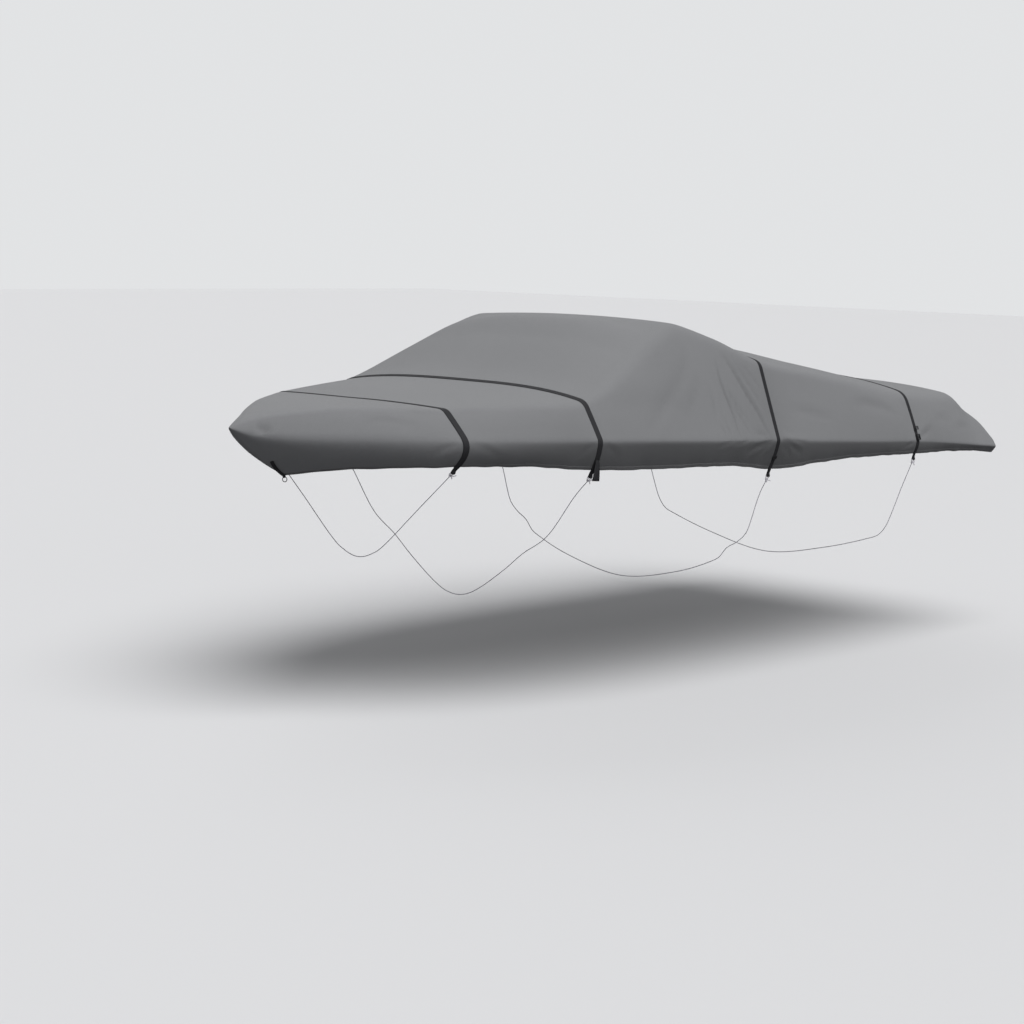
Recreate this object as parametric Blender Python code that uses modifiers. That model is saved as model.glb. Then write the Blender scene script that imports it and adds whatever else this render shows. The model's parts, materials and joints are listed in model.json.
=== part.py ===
"""Fitted storage cover: one hollow sheet of woven polyester pulled taut, with four webbing
straps sewn across it, their strap adjusters, the folded loops at their ends, a bow tab
with its empty ring, and four tie cords that run from loop to loop underneath.

Metres, +Z up. In the tables x runs aft from the bow tip, y is the distance from the
centre line and z is the height over the floor. The finished part is then moved so that
its origin lies under the crown of the hump, where the covered thing carries the sheet."""

import math
from collections import namedtuple

import bmesh
import bpy
import numpy as np
from mathutils import Matrix, Vector

# ---------------------------------------------------------------- driving sizes
CLOTH = 0.0022              # sheet with its coating
ORIGIN = Vector((2.30, 0.0, 1.868))  # under the crown of the hump
STEM_RAKE = 0.345           # how far the bow seam runs aft from tip to hem
STEM_CURVE = 1.15           # 1 would be a straight bow seam
RAKE_END = 0.90             # aft of this x the sections stand upright
HEEL = 0.008                # starboard ridge over the port one, forward of the hump
HEEL_END = (2.0, 2.4)       # the heel fades out between these
TIP_HEIGHT = 1.366          # all seams of the top meet in the bow tip
FLAP_X = 5.137              # stern flap: place and height of its lower edge
FLAP_Z = 1.052
FLAP_HALF = 0.982

UNDER_STEPS = 3             # mesh steps from hem to rail line
PANEL_STEPS = 5             # rail line to ridge line
ROOF_STEPS = 6              # ridge line to crown

WEB = 0.0016                # webbing thickness
WEB_GAP = 0.0005            # webbing over cloth
SEAT = 0.0003               # hard piece over webbing
LOOP_WIDTH = 0.020          # webbing gathered into its end loop
FOLD_RADIUS = 0.0056        # middle of the webbing round the end of its loop
PLY = 0.0022                # one layer of webbing to the next, folded back on itself
EYE_LENGTH = 0.018          # the loop is open this far above its fold
SPARE_TURN = 0.0026         # half circle over which the spare end turns down
CORD_RADIUS = 0.0021
KNOT_REACH = 0.0215         # fold centre to knot centre
KNOT_RADII = (0.0085, 0.0066, 0.0066)
TAIL_RADIUS = 0.0019        # free ends of the cord

RING_RADIUS = 0.0122        # middle of the ring's wire
RING_WIRE = 0.0019
TAB_WIDTH = 0.018
TAB_NECK = 0.010            # gathered to this width round the ring
TAB_STEPS = 4
TAB_FOLD = 0.0048           # middle of the webbing round the ring's wire
TAB_GAP = 0.0008            # flat webbing over the slightly round sheet
TAB_DROP = 0.004            # fold centre past the hem
TAB_FOOT = (0.006, 1.00)    # section x and share from rail to hem, lower and upper end
TAB_HEAD = (0.060, 0.66)

# The sheet's seams at each section. rail: widest line, where it turns under; ridge: top
# edge of the side panel; crown: middle of the roof; arch: roof shape, 2 is a parabola and
# more is flatter on top; bulge: side panel over a flat one; under: the same below the
# rail line.
Station = namedtuple("Station", "x rail_y rail_z ridge_y ridge_z crown_z arch bulge under")
STATIONS = [
    Station(0.00, 0.000, 1.366, 0.000, 1.366, 1.366, 2.7, 0.000, 0.000),
    Station(0.10, 0.100, 1.326, 0.055, 1.402, 1.412, 2.7, 0.002, 0.006),
    Station(0.25, 0.246, 1.314, 0.165, 1.438, 1.449, 2.7, 0.004, 0.012),
    Station(0.45, 0.430, 1.317, 0.310, 1.461, 1.469, 2.8, 0.006, 0.020),
    Station(0.64, 0.596, 1.320, 0.455, 1.463, 1.472, 2.8, 0.008, 0.026),
    Station(0.836, 0.744, 1.321, 0.598, 1.462, 1.473, 2.8, 0.008, 0.028),
    Station(1.16, 0.875, 1.313, 0.745, 1.470, 1.500, 3.0, 0.006, 0.018),
    Station(1.49, 0.967, 1.304, 0.862, 1.480, 1.534, 3.2, 0.004, 0.009),
    Station(1.60, 0.990, 1.300, 0.863, 1.508, 1.568, 3.2, 0.004, 0.008),
    Station(1.95, 1.035, 1.287, 0.800, 1.664, 1.752, 3.0, 0.003, 0.006),
    Station(2.20, 1.052, 1.276, 0.745, 1.782, 1.868, 2.7, 0.002, 0.006),
    Station(2.40, 1.060, 1.266, 0.703, 1.850, 1.872, 2.4, 0.000, 0.006),
    Station(2.63, 1.066, 1.256, 0.808, 1.766, 1.838, 2.0, 0.000, 0.006),
    Station(2.863, 1.070, 1.247, 0.920, 1.655, 1.782, 2.0, 0.000, 0.006),
    Station(3.30, 1.070, 1.222, 0.934, 1.585, 1.706, 2.0, 0.004, 0.006),
    Station(3.80, 1.064, 1.194, 0.941, 1.505, 1.612, 2.3, 0.010, 0.006),
    Station(4.222, 1.052, 1.173, 0.942, 1.441, 1.532, 2.8, 0.015, 0.006),
    Station(4.60, 1.040, 1.142, 0.915, 1.416, 1.476, 2.8, 0.012, 0.004),
    Station(4.76, 1.034, 1.126, 0.900, 1.410, 1.458, 2.8, 0.010, 0.002),
    Station(4.92, 1.029, 1.110, 0.900, 1.328, 1.370, 2.6, 0.006, 0.000),
    Station(5.05, 1.024, 1.098, 0.940, 1.240, 1.266, 2.4, 0.003, 0.000),
    Station(5.13, 1.020, 1.090, 0.990, 1.138, 1.148, 2.4, 0.000, 0.000),
]

# Lower edge of the sheet by its own x. It is drawn in at the straps.
Hem = namedtuple("Hem", "x y z")
HEM = [
    Hem(0.345, 0.000, 1.120), Hem(0.40, 0.160, 1.148), Hem(0.56, 0.400, 1.174),
    Hem(0.836, 0.684, 1.190), Hem(1.14, 0.818, 1.187), Hem(1.34, 0.882, 1.172),
    Hem(1.537, 0.932, 1.156), Hem(1.71, 0.968, 1.149), Hem(1.97, 0.998, 1.142),
    Hem(2.26, 1.020, 1.136), Hem(2.46, 1.026, 1.130), Hem(2.69, 1.026, 1.109),
    Hem(2.863, 1.014, 1.089), Hem(2.98, 1.028, 1.088), Hem(3.25, 1.038, 1.102),
    Hem(3.57, 1.037, 1.109), Hem(3.90, 1.034, 1.105), Hem(4.222, 1.030, 1.098),
    Hem(4.60, 1.010, 1.090), Hem(5.13, 0.991, 1.060),
]

# Soft troughs in a side panel: x and share of the way from rail to ridge at each end.
Fold = namedtuple("Fold", "side x_top up_top x_foot up_foot depth width")
FOLDS = [
    Fold(-1, 2.70, 0.98, 2.47, 0.10, 0.010, 0.030),
    Fold(-1, 2.71, 0.95, 2.59, -0.10, 0.009, 0.026),
    Fold(-1, 2.74, 0.95, 2.69, 0.02, 0.010, 0.026),
    Fold(-1, 2.78, 0.90, 2.78, 0.12, 0.008, 0.026),
    Fold(-1, 2.60, 0.75, 2.28, 0.15, 0.006, 0.034),
    Fold(1, 2.72, 0.95, 2.52, 0.05, 0.010, 0.030),
    Fold(1, 2.76, 0.92, 2.66, -0.05, 0.009, 0.028),
    Fold(1, 2.80, 0.90, 2.80, 0.15, 0.007, 0.028),
]

# Zones of even mesh spacing along the sheet: fine where it folds or turns.
Zone = namedtuple("Zone", "start end step")
ZONES = [
    Zone(0.05, 0.75, 0.088), Zone(0.92, 1.46, 0.135), Zone(1.64, 2.16, 0.130),
    Zone(2.24, 2.82, 0.0415), Zone(2.90, 4.16, 0.21), Zone(4.32, 5.13, 0.090),
]

# Cross straps. loop_y, loop_z: the lowest point of the end loop, on both sides. seam:
# how far the webbing runs back up from there. spare: its end, hanging from the seam.
Strap = namedtuple("Strap", "name x width loop_y loop_z seam spare")
STRAPS = [
    Strap("strap_1", 0.836, 0.027, 0.654, 1.160, 0.044, 0.0),
    Strap("strap_2", 1.537, 0.028, 0.906, 1.118, 0.092, 0.098),
    Strap("strap_3", 2.863, 0.026, 0.998, 1.048, 0.046, 0.0),
    Strap("strap_4", 4.222, 0.026, 1.018, 1.062, 0.042, 0.0),
]

# Plastic adjusters on the straps, on both sides: height of the middle, length, thickness.
Adjuster = namedtuple("Adjuster", "name strap z length thick")
ADJUSTERS = [
    Adjuster("slide_3", "strap_3", 1.154, 0.020, 0.0045),
    Adjuster("slide_4", "strap_4", 1.246, 0.020, 0.0045),
    Adjuster("buckle_4", "strap_4", 1.194, 0.034, 0.0085),
]

# Tie cords: points (y, z) from knot to centre line on one side. The other side mirrors them.
CORD_ROUTES = {
    "strap_1": [(0.423, 0.958), (0.194, 0.762), (0.090, 0.702), (0.000, 0.682)],
    "strap_2": [(0.811, 1.009), (0.640, 0.798), (0.474, 0.690), (0.330, 0.580),
                (0.136, 0.456), (0.000, 0.420)],
    "strap_3": [(0.947, 0.930), (0.869, 0.722), (0.750, 0.638), (0.677, 0.566),
                (0.400, 0.462), (0.000, 0.392)],
    "strap_4": [(0.953, 0.890), (0.861, 0.664), (0.790, 0.592), (0.420, 0.482),
                (0.000, 0.412)],
}
CORD_POINTS = 33            # mesh rings along one cord

# Free ends of each knot, along the row (aft), away from the loop, and outward.
TAIL_ENDS = {
    "strap_1": [(0.021, -0.012, 0.008), (0.017, 0.018, 0.006)],
    "strap_2": [(0.017, 0.016, 0.007), (0.010, -0.014, 0.010)],
    "strap_3": [(0.030, 0.006, 0.008), (-0.006, 0.012, 0.010)],
    "strap_4": [(0.020, 0.014, 0.008), (0.004, -0.014, 0.011)],
}

COLOURS = {
    "cloth": ((0.215, 0.222, 0.224, 1), 0.86),
    "webbing": ((0.012, 0.012, 0.014, 1), 0.80),
    "plastic": ((0.010, 0.010, 0.011, 1), 0.42),
    "cord": ((0.74, 0.70, 0.76, 1), 0.72),
}


# ---------------------------------------------------------------- curves and tables
def track(xs, ys):
    """A smooth curve through a table's values that never overshoots them."""
    xs = np.asarray(xs, float)
    ys = np.asarray(ys, float)
    step = np.diff(xs)
    slope = np.diff(ys) / step
    tangent = np.zeros(len(xs))
    tangent[0] = slope[0]
    tangent[-1] = slope[-1]
    for i in range(1, len(xs) - 1):
        if slope[i - 1] * slope[i] > 0:
            before = 2 * step[i] + step[i - 1]
            after = step[i] + 2 * step[i - 1]
            tangent[i] = (before + after) / (before / slope[i - 1] + after / slope[i])

    def value(x):
        i = int(np.clip(np.searchsorted(xs, x) - 1, 0, len(step) - 1))
        t = min(max((x - xs[i]) / step[i], 0.0), 1.0)
        a = (1 + 2 * t) * (1 - t) ** 2
        b = t * (1 - t) ** 2
        c = t * t * (3 - 2 * t)
        d = t * t * (t - 1)
        return float(a * ys[i] + b * step[i] * tangent[i] + c * ys[i + 1] + d * step[i] * tangent[i + 1])

    return value


def column(rows, name):
    return track([r.x for r in rows], [getattr(r, name) for r in rows])


SEAMS = {name: column(STATIONS, name) for name in Station._fields[1:]}
HEM_Y = column(HEM, "y")
HEM_Z = column(HEM, "z")


def mix(a, b, share):
    return a + (b - a) * share


def trough(x, share, side):
    """How far the folds draw a side panel in at this place."""
    depth = 0.0
    for f in FOLDS:
        if f.side != side:
            continue
        run = Vector((f.x_foot - f.x_top, (f.up_foot - f.up_top) * 0.4))
        place = Vector((x - f.x_top, (share - f.up_top) * 0.4))
        along = place.dot(run) / run.length_squared
        if not 0.0 < along < 1.0:
            continue
        off = (place - run * along).length
        depth += f.depth * math.exp(-((off / f.width) ** 2)) * math.sin(math.pi * along) ** 0.6
    return depth


def under_point(x, share, side):
    """A point of the sheet below the rail line: share 0 is the rail, 1 the hem."""
    rake = STEM_RAKE * max(0.0, 1 - x / RAKE_END) ** 2
    bulge = SEAMS["under"](x) * 4 * share * (1 - share)
    y = mix(SEAMS["rail_y"](x), HEM_Y(x + rake), share) + bulge
    z = mix(SEAMS["rail_z"](x), HEM_Z(x + rake), share)
    return Vector((x + rake * share ** STEM_CURVE, side * y, z))


def half_section(x, side):
    """Points of one half of a section, from hem to crown. side is -1 port, 1 starboard."""
    seam = {name: value(x) for name, value in SEAMS.items()}
    if side > 0:
        fade = min(max((HEEL_END[1] - x) / (HEEL_END[1] - HEEL_END[0]), 0.0), 1.0)
        seam["ridge_z"] += HEEL * fade * min(1.0, x / 0.90)
    points = []
    for i in range(UNDER_STEPS, 0, -1):
        points.append(under_point(x, i / UNDER_STEPS, side))
    rise = seam["ridge_z"] - seam["rail_z"]
    inward = seam["rail_y"] - seam["ridge_y"]
    width = math.hypot(rise, inward) or 1.0
    for i in range(PANEL_STEPS):
        s = i / PANEL_STEPS
        out = seam["bulge"] * 4 * s * (1 - s) - trough(x, s, side)
        y = mix(seam["rail_y"], seam["ridge_y"], s) + out * rise / width
        z = mix(seam["rail_z"], seam["ridge_z"], s) + out * inward / width
        points.append(Vector((x, side * y, z)))
    for i in range(ROOF_STEPS + 1):
        reach = math.cos(math.pi / 2 * i / ROOF_STEPS)
        drop = (seam["crown_z"] - seam["ridge_z"]) * reach ** seam["arch"]
        points.append(Vector((x, side * seam["ridge_y"] * reach, seam["crown_z"] - drop)))
    return points


def section(x):
    """A whole section, from the port hem over the crown to the starboard hem."""
    port = half_section(x, -1)
    starboard = half_section(x, 1)
    return port + starboard[-2::-1]


def mesh_stations():
    """Where the sheet has sections: the zones, and both edges of each strap."""
    places = {0.0}
    for z in ZONES:
        count = max(1, round((z.end - z.start) / z.step))
        places.update(mix(z.start, z.end, i / count) for i in range(count + 1))
    for s in STRAPS:
        places.update((s.x - s.width / 2, s.x + s.width / 2))
    return sorted(places)


def smooth_path(points, count):
    """Evenly spaced points on one smooth curve through the given ones."""
    ends = [points[0] * 2 - points[1]] + list(points) + [points[-1] * 2 - points[-2]]
    fine = []
    for a, b, c, d in zip(ends, ends[1:], ends[2:], ends[3:]):
        for i in range(24):
            t = i / 24
            fine.append(0.5 * ((2 * b) + (c - a) * t + (2 * a - 5 * b + 4 * c - d) * t * t
                               + (3 * b - a - 3 * c + d) * t ** 3))
    fine.append(points[-1].copy())
    lengths = [0.0]
    for a, b in zip(fine, fine[1:]):
        lengths.append(lengths[-1] + (b - a).length)
    even = []
    for i in range(count):
        want = lengths[-1] * i / (count - 1)
        j = min(max(int(np.searchsorted(lengths, want)), 1), len(fine) - 1)
        t = (want - lengths[j - 1]) / (lengths[j] - lengths[j - 1])
        even.append(fine[j - 1].lerp(fine[j], t))
    return even


# ---------------------------------------------------------------- Blender helpers
def clear_scene():
    for obj in list(bpy.data.objects):
        bpy.data.objects.remove(obj, do_unlink=True)


def new_collection(name):
    made = bpy.data.collections.new(name)
    bpy.context.scene.collection.children.link(made)
    return made


def material(name):
    mat = bpy.data.materials.get(name)
    if mat:
        return mat
    colour, rough = COLOURS[name]
    mat = bpy.data.materials.new(name)
    mat.use_nodes = True
    mat.diffuse_color = colour
    shader = mat.node_tree.nodes["Principled BSDF"]
    shader.inputs["Base Color"].default_value = colour
    shader.inputs["Roughness"].default_value = rough
    shader.inputs["Metallic"].default_value = 0.0
    return mat


def add_object(name, data, group, finish):
    obj = bpy.data.objects.new(name, data)
    group.objects.link(obj)
    obj.location = -ORIGIN
    obj.data.materials.append(material(finish))
    return obj


def mesh_from(bm, name, group, finish):
    bmesh.ops.recalc_face_normals(bm, faces=bm.faces)
    data = bpy.data.meshes.new(name)
    bm.to_mesh(data)
    bm.free()
    data.shade_smooth()
    return add_object(name, data, group, finish)


def grid(bm, rows):
    """Quads between neighbouring rows of points."""
    lines = [[bm.verts.new(p) for p in row] for row in rows]
    for low, high in zip(lines, lines[1:]):
        for a, b, c, d in zip(low, low[1:], high[1:], high):
            bm.faces.new((a, b, c, d))
    return lines


def frame_along(first, second):
    """Rotation whose first two axes are these two directions."""
    return Matrix((first, second, first.cross(second))).transposed().to_4x4()


def solidify(obj, thickness, offset):
    mod = obj.modifiers.new("thickness", "SOLIDIFY")
    mod.thickness = thickness
    mod.offset = offset
    mod.use_even_offset = False
    return mod


def tube(name, points, radius, group, finish, closed=False, round_steps=1):
    curve = bpy.data.curves.new(name, "CURVE")
    curve.dimensions = "3D"
    curve.bevel_depth = radius
    curve.bevel_resolution = round_steps
    curve.use_fill_caps = not closed
    spline = curve.splines.new("POLY")
    spline.points.add(len(points) - 1)
    for target, p in zip(spline.points, points):
        target.co = (*p, 1.0)
    spline.use_cyclic_u = closed
    return add_object(name, curve, group, finish)


def as_mesh(obj):
    """The curve object as a mesh with welded caps, in the same place."""
    bpy.context.view_layer.update()
    graph = bpy.context.evaluated_depsgraph_get()
    data = bpy.data.meshes.new_from_object(obj.evaluated_get(graph))
    bm = bmesh.new()
    bm.from_mesh(data)
    bmesh.ops.remove_doubles(bm, verts=bm.verts, dist=0.00001)
    bm.to_mesh(data)
    bm.free()
    name = obj.name
    group = obj.users_collection[0]
    place = obj.matrix_world.copy()
    bpy.data.objects.remove(obj, do_unlink=True)
    made = bpy.data.objects.new(name, data)
    group.objects.link(made)
    made.matrix_world = place
    return made


def join_into(target, others):
    """Boolean unions that make one body of a piece and what grows out of it."""
    for i, other in enumerate(others):
        mod = target.modifiers.new(f"join_{i}", "BOOLEAN")
        mod.operation = "UNION"
        mod.solver = "EXACT"
        mod.object = other
        other.hide_render = True
        other.display_type = "WIRE"


# ---------------------------------------------------------------- the sheet
def make_cover(group):
    rows = [section(x) for x in mesh_stations()]
    count = len(rows[0])
    flap = []
    for j in range(count):
        share = 1 - 2 * j / (count - 1)
        flap.append(Vector((FLAP_X, -FLAP_HALF * share, FLAP_Z)))
    tip = Vector((0.0, 0.0, TIP_HEIGHT))
    rows[0] = [tip if p.z > TIP_HEIGHT - 0.001 else p for p in rows[0]]
    bm = bmesh.new()
    grid(bm, rows + [flap])
    bmesh.ops.remove_doubles(bm, verts=bm.verts, dist=0.00005)
    obj = mesh_from(bm, "cover", group, "cloth")
    solidify(obj, CLOTH, -1.0)
    return obj


# ---------------------------------------------------------------- straps
def walk(points, distance):
    """The point this far along a line of points, and the direction there."""
    for p, q in zip(points, points[1:]):
        length = (q - p).length
        if distance <= length:
            break
        distance -= length
    return p.lerp(q, distance / length), (q - p).normalized()


def webbing_rows(strap):
    """Both edges of the webbing that lies on the sheet, port hem to starboard hem."""
    fore = section(strap.x - strap.width / 2)
    aft = section(strap.x + strap.width / 2)
    middle = [(p + q) / 2 for p, q in zip(fore, aft)]
    rows = []
    for i, (p, q) in enumerate(zip(fore, aft)):
        run = middle[min(i + 1, len(middle) - 1)] - middle[max(i - 1, 0)]
        lift = (q - p).cross(run).normalized() * (WEB_GAP + WEB / 2)
        rows.append((p + lift, q + lift))
    return rows


def fold_back(up_line, across, side, seam, spare):
    """Webbing that comes down a line, turns outward in a round fold and runs back up.
    up_line starts at the fold. Returns the points from the fold on, and the loop's frame."""
    run = (up_line[0] - up_line[1]).normalized()
    out = across.cross(run).normalized() * side
    centre = up_line[0] + out * FOLD_RADIUS
    points = []
    for i in range(7):
        turn = math.pi * i / 6
        points.append(centre + (run * math.sin(turn) - out * math.cos(turn)) * FOLD_RADIUS)
    steps = [EYE_LENGTH * 0.35, EYE_LENGTH * 0.7, EYE_LENGTH]
    more = max(1, round((seam - EYE_LENGTH) / 0.025))
    steps += [mix(EYE_LENGTH, seam, (i + 1) / more) for i in range(more)]
    for distance in steps:
        place, rise = walk(up_line, distance)
        closing = min(1.0, distance / EYE_LENGTH)
        reach = mix(2 * FOLD_RADIUS, PLY, closing * closing * (3 - 2 * closing))
        points.append(place - across.cross(rise).normalized() * side * reach)
    if spare:
        top = points[-1]
        level = Vector((out.x, out.y, 0.0)).normalized()
        up = Vector((0.0, 0.0, 1.0))
        for i in range(1, 6):
            turn = math.pi * i / 5
            points.append(top + (level * (1 - math.cos(turn)) + up * math.sin(turn)) * SPARE_TURN)
        hung = points[-1]
        for i in range(1, 4):
            sway = 0.004 * math.sin(math.pi * 0.8 * i / 3)
            points.append(hung + level * sway + across * sway - up * spare * i / 3)
    return points, (centre, run, out, across)


def make_strap(strap, group):
    """One strap: over the sheet, past the hem on both sides, folded back into a loop."""
    laid = webbing_rows(strap)
    middle = [(p + q) / 2 for p, q in laid]
    rows = list(laid)
    frames = {}
    for side, line, hem in ((-1, middle, laid[0]), (1, middle[::-1], laid[-1])):
        across = (hem[1] - hem[0]).normalized()
        low = Vector((strap.x, side * strap.loop_y, strap.loop_z))
        start = low - (low - line[0]).normalized() * FOLD_RADIUS
        down = [line[0].lerp(start, 0.33), line[0].lerp(start, 0.66)]
        points, frames[side] = fold_back([start] + line, across, side, strap.seam, strap.spare)
        ends = []
        for i, p in enumerate(down + points):
            half = across * mix(strap.width, LOOP_WIDTH, min(1.0, (i + 1) / 3)) / 2
            ends.append((p - half, p + half))
        rows = ends[::-1] + rows if side < 0 else rows + ends
    bm = bmesh.new()
    grid(bm, rows)
    obj = mesh_from(bm, strap.name, group, "webbing")
    solidify(obj, WEB, 0.0)
    return frames


# ---------------------------------------------------------------- bow tab and ring
def make_bow_tab(group):
    """Webbing sewn flat on the bow, folded round the ring and back on itself."""
    line = []
    for i in range(TAB_STEPS + 1):
        t = i / TAB_STEPS
        x = mix(TAB_HEAD[0], TAB_FOOT[0], t)
        share = mix(TAB_HEAD[1], TAB_FOOT[1], t)
        place = under_point(x, share, -1)
        down = under_point(x, share + 0.01, -1) - place
        aft = under_point(x + 0.005, share, -1) - place
        off = down.cross(aft).normalized()
        if off.x > 0:
            off = -off
        line.append((place + off * (TAB_GAP + WEB / 2), off))
    off = line[-1][1]
    along = (line[-1][0] - line[-2][0]).normalized()
    side = off.cross(along).normalized()
    off = along.cross(side)
    low = line[-1][0] + along * TAB_DROP
    centre = low + off * TAB_FOLD
    path = [(p, TAB_WIDTH) for p, _ in line] + [(low, TAB_NECK)]
    for i in range(1, 8):
        turn = math.pi * i / 7
        round_it = along * math.sin(turn) - off * math.cos(turn)
        path.append((centre + round_it * TAB_FOLD, TAB_NECK))
    path += [(p + o * (PLY + 0.0003 * i), TAB_WIDTH) for i, (p, o) in enumerate(line[-2::-1])]
    bm = bmesh.new()
    grid(bm, [(p - side * w / 2, p + side * w / 2) for p, w in path])
    obj = mesh_from(bm, "bow_tab", group, "webbing")
    solidify(obj, WEB, 0.0)

    dip = RING_RADIUS - math.sqrt(RING_RADIUS ** 2 - (TAB_NECK / 2) ** 2)
    wire = centre + along * (TAB_FOLD - WEB / 2 - 2 * SEAT - RING_WIRE - dip)
    drop = Vector((0.0, 0.0, -1.0))
    drop = (drop - side * drop.dot(side)).normalized()
    points = []
    for i in range(22):
        turn = 2 * math.pi * i / 22
        round_it = side * math.sin(turn) - drop * math.cos(turn)
        points.append(wire + (drop + round_it) * RING_RADIUS)
    tube("bow_ring", points, RING_WIRE, group, "plastic", closed=True, round_steps=2)


# ---------------------------------------------------------------- knots and cords
def make_knot(strap, side, frame, group, helpers):
    """Knot under an end loop: the turn through the loop, the knot itself and two free ends."""
    centre, run, out, aft = frame
    name = f"knot_{strap.name[-1]}_{'port' if side < 0 else 'starboard'}"
    half = LOOP_WIDTH / 2
    inside = FOLD_RADIUS * 0.96 - WEB / 2 - CORD_RADIUS - 2 * SEAT
    clear = half + CORD_RADIUS + 0.0006
    bight = [(0, inside), (half, inside), (clear + 0.0010, inside + 0.0016),
             (clear * 0.95, 0.0095), (0.0055, KNOT_REACH - 0.002), (0, KNOT_REACH)]
    loop = bight + [(-a, b) for a, b in bight[-2:0:-1]]
    points = [centre + aft * a + run * b for a, b in loop]
    ring = tube(f"{name}_turn", smooth_closed(points, 18), CORD_RADIUS, helpers, "cord", closed=True)
    bpy.ops.mesh.primitive_uv_sphere_add(segments=10, ring_count=7, radius=1.0)
    ball = bpy.context.active_object
    ball.name = name
    for old in list(ball.users_collection):
        old.objects.unlink(ball)
    group.objects.link(ball)
    ball.data.materials.append(material("cord"))
    middle = centre + run * KNOT_REACH
    ball.data.transform(frame_along(aft, out) @ Matrix.Diagonal((*KNOT_RADII, 1.0)))
    ball.data.transform(Matrix.Translation(middle))
    ball.location = -ORIGIN
    others = [as_mesh(ring)]
    for i, (a, b, c) in enumerate(TAIL_ENDS[strap.name]):
        tip = middle + aft * a + run * b + out * c
        bend = middle + aft * a * 0.55 + run * b * 0.35 + out * c * 0.9
        ends = smooth_path([middle + (bend - middle) * 0.15, bend, tip], 5)
        tail = tube(f"{name}_end_{i}", ends, TAIL_RADIUS, helpers, "cord")
        others.append(as_mesh(tail))
    join_into(ball, others)
    return middle + run * (KNOT_RADII[2] + SEAT)


def smooth_closed(points, count):
    """Evenly spaced points on a closed smooth curve through the given ones."""
    wrapped = points + points[:3]
    fine = []
    for a, b, c, d in zip(wrapped, wrapped[1:], wrapped[2:], wrapped[3:]):
        for i in range(12):
            t = i / 12
            fine.append(0.5 * ((2 * b) + (c - a) * t + (2 * a - 5 * b + 4 * c - d) * t * t
                               + (3 * b - a - 3 * c + d) * t ** 3))
    step = len(fine) / count
    return [fine[int(i * step)] for i in range(count)]


def make_cord(strap, port_start, starboard_start, group):
    """Tie cord from the port knot, under what is covered, to the starboard knot."""
    route = CORD_ROUTES[strap.name]
    port = [Vector((strap.x, -y, z)) for y, z in route]
    starboard = [Vector((strap.x, y, z)) for y, z in route[-2::-1]]
    points = smooth_path([port_start] + port + starboard + [starboard_start], CORD_POINTS)
    tube(f"cord_{strap.name[-1]}", points, CORD_RADIUS, group, "cord")


# ---------------------------------------------------------------- adjusters
def at_height(x, z, side):
    """The point of a section at this height, and the direction up the sheet there."""
    line = half_section(x, side)
    for low, high in zip(line, line[1:]):
        if low.z <= z <= high.z:
            break
    return low.lerp(high, (z - low.z) / (high.z - low.z)), (high - low).normalized()


def make_adjuster(item, side, group):
    """Plastic adjuster lying flat on its strap."""
    strap = next(s for s in STRAPS if s.name == item.strap)
    half = strap.width / 2
    place, run = at_height(strap.x, item.z, side)
    fore = at_height(strap.x - half, item.z, side)[0]
    aft = at_height(strap.x + half, item.z, side)[0]
    across = (aft - fore).normalized()
    out = (across.cross(run) * -side).normalized()
    place = (fore + aft) / 2 + out * (WEB_GAP + WEB + SEAT + item.thick / 2)
    bpy.ops.mesh.primitive_cube_add(size=1.0)
    obj = bpy.context.active_object
    obj.name = f"{item.name}_{'port' if side < 0 else 'starboard'}"
    for old in list(obj.users_collection):
        old.objects.unlink(obj)
    group.objects.link(obj)
    obj.data.materials.append(material("plastic"))
    size = Matrix.Diagonal((strap.width + 0.007, item.thick, item.length, 1.0))
    obj.data.transform(frame_along(across, out) @ size)
    obj.location = place - ORIGIN
    mod = obj.modifiers.new("round", "BEVEL")
    mod.width = 0.0012
    mod.segments = 2


# ---------------------------------------------------------------- assembly
def main():
    clear_scene()
    group = new_collection("storage_cover")
    helpers = new_collection("helpers")
    make_cover(group)
    for strap in STRAPS:
        frames = make_strap(strap, group)
        starts = {side: make_knot(strap, side, frames[side], group, helpers) for side in (-1, 1)}
        make_cord(strap, starts[-1], starts[1], group)
    for item in ADJUSTERS:
        for side in (-1, 1):
            make_adjuster(item, side, group)
    make_bow_tab(group)


main()
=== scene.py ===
# %% [markdown]
# # A fitted storage cover, pulled taut
# The object is one sheet of grey coated polyester. Four webbing straps are sewn across
# it, and a cord ties each strap's two end loops together underneath. The sheet stands up
# in a hump where it is carried, and it turns under along a rail line near its lower edge.
# The solids give every piece its place. This script makes their fine surfaces.

# %% Load the solids
import json
import math
from collections import namedtuple

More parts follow.
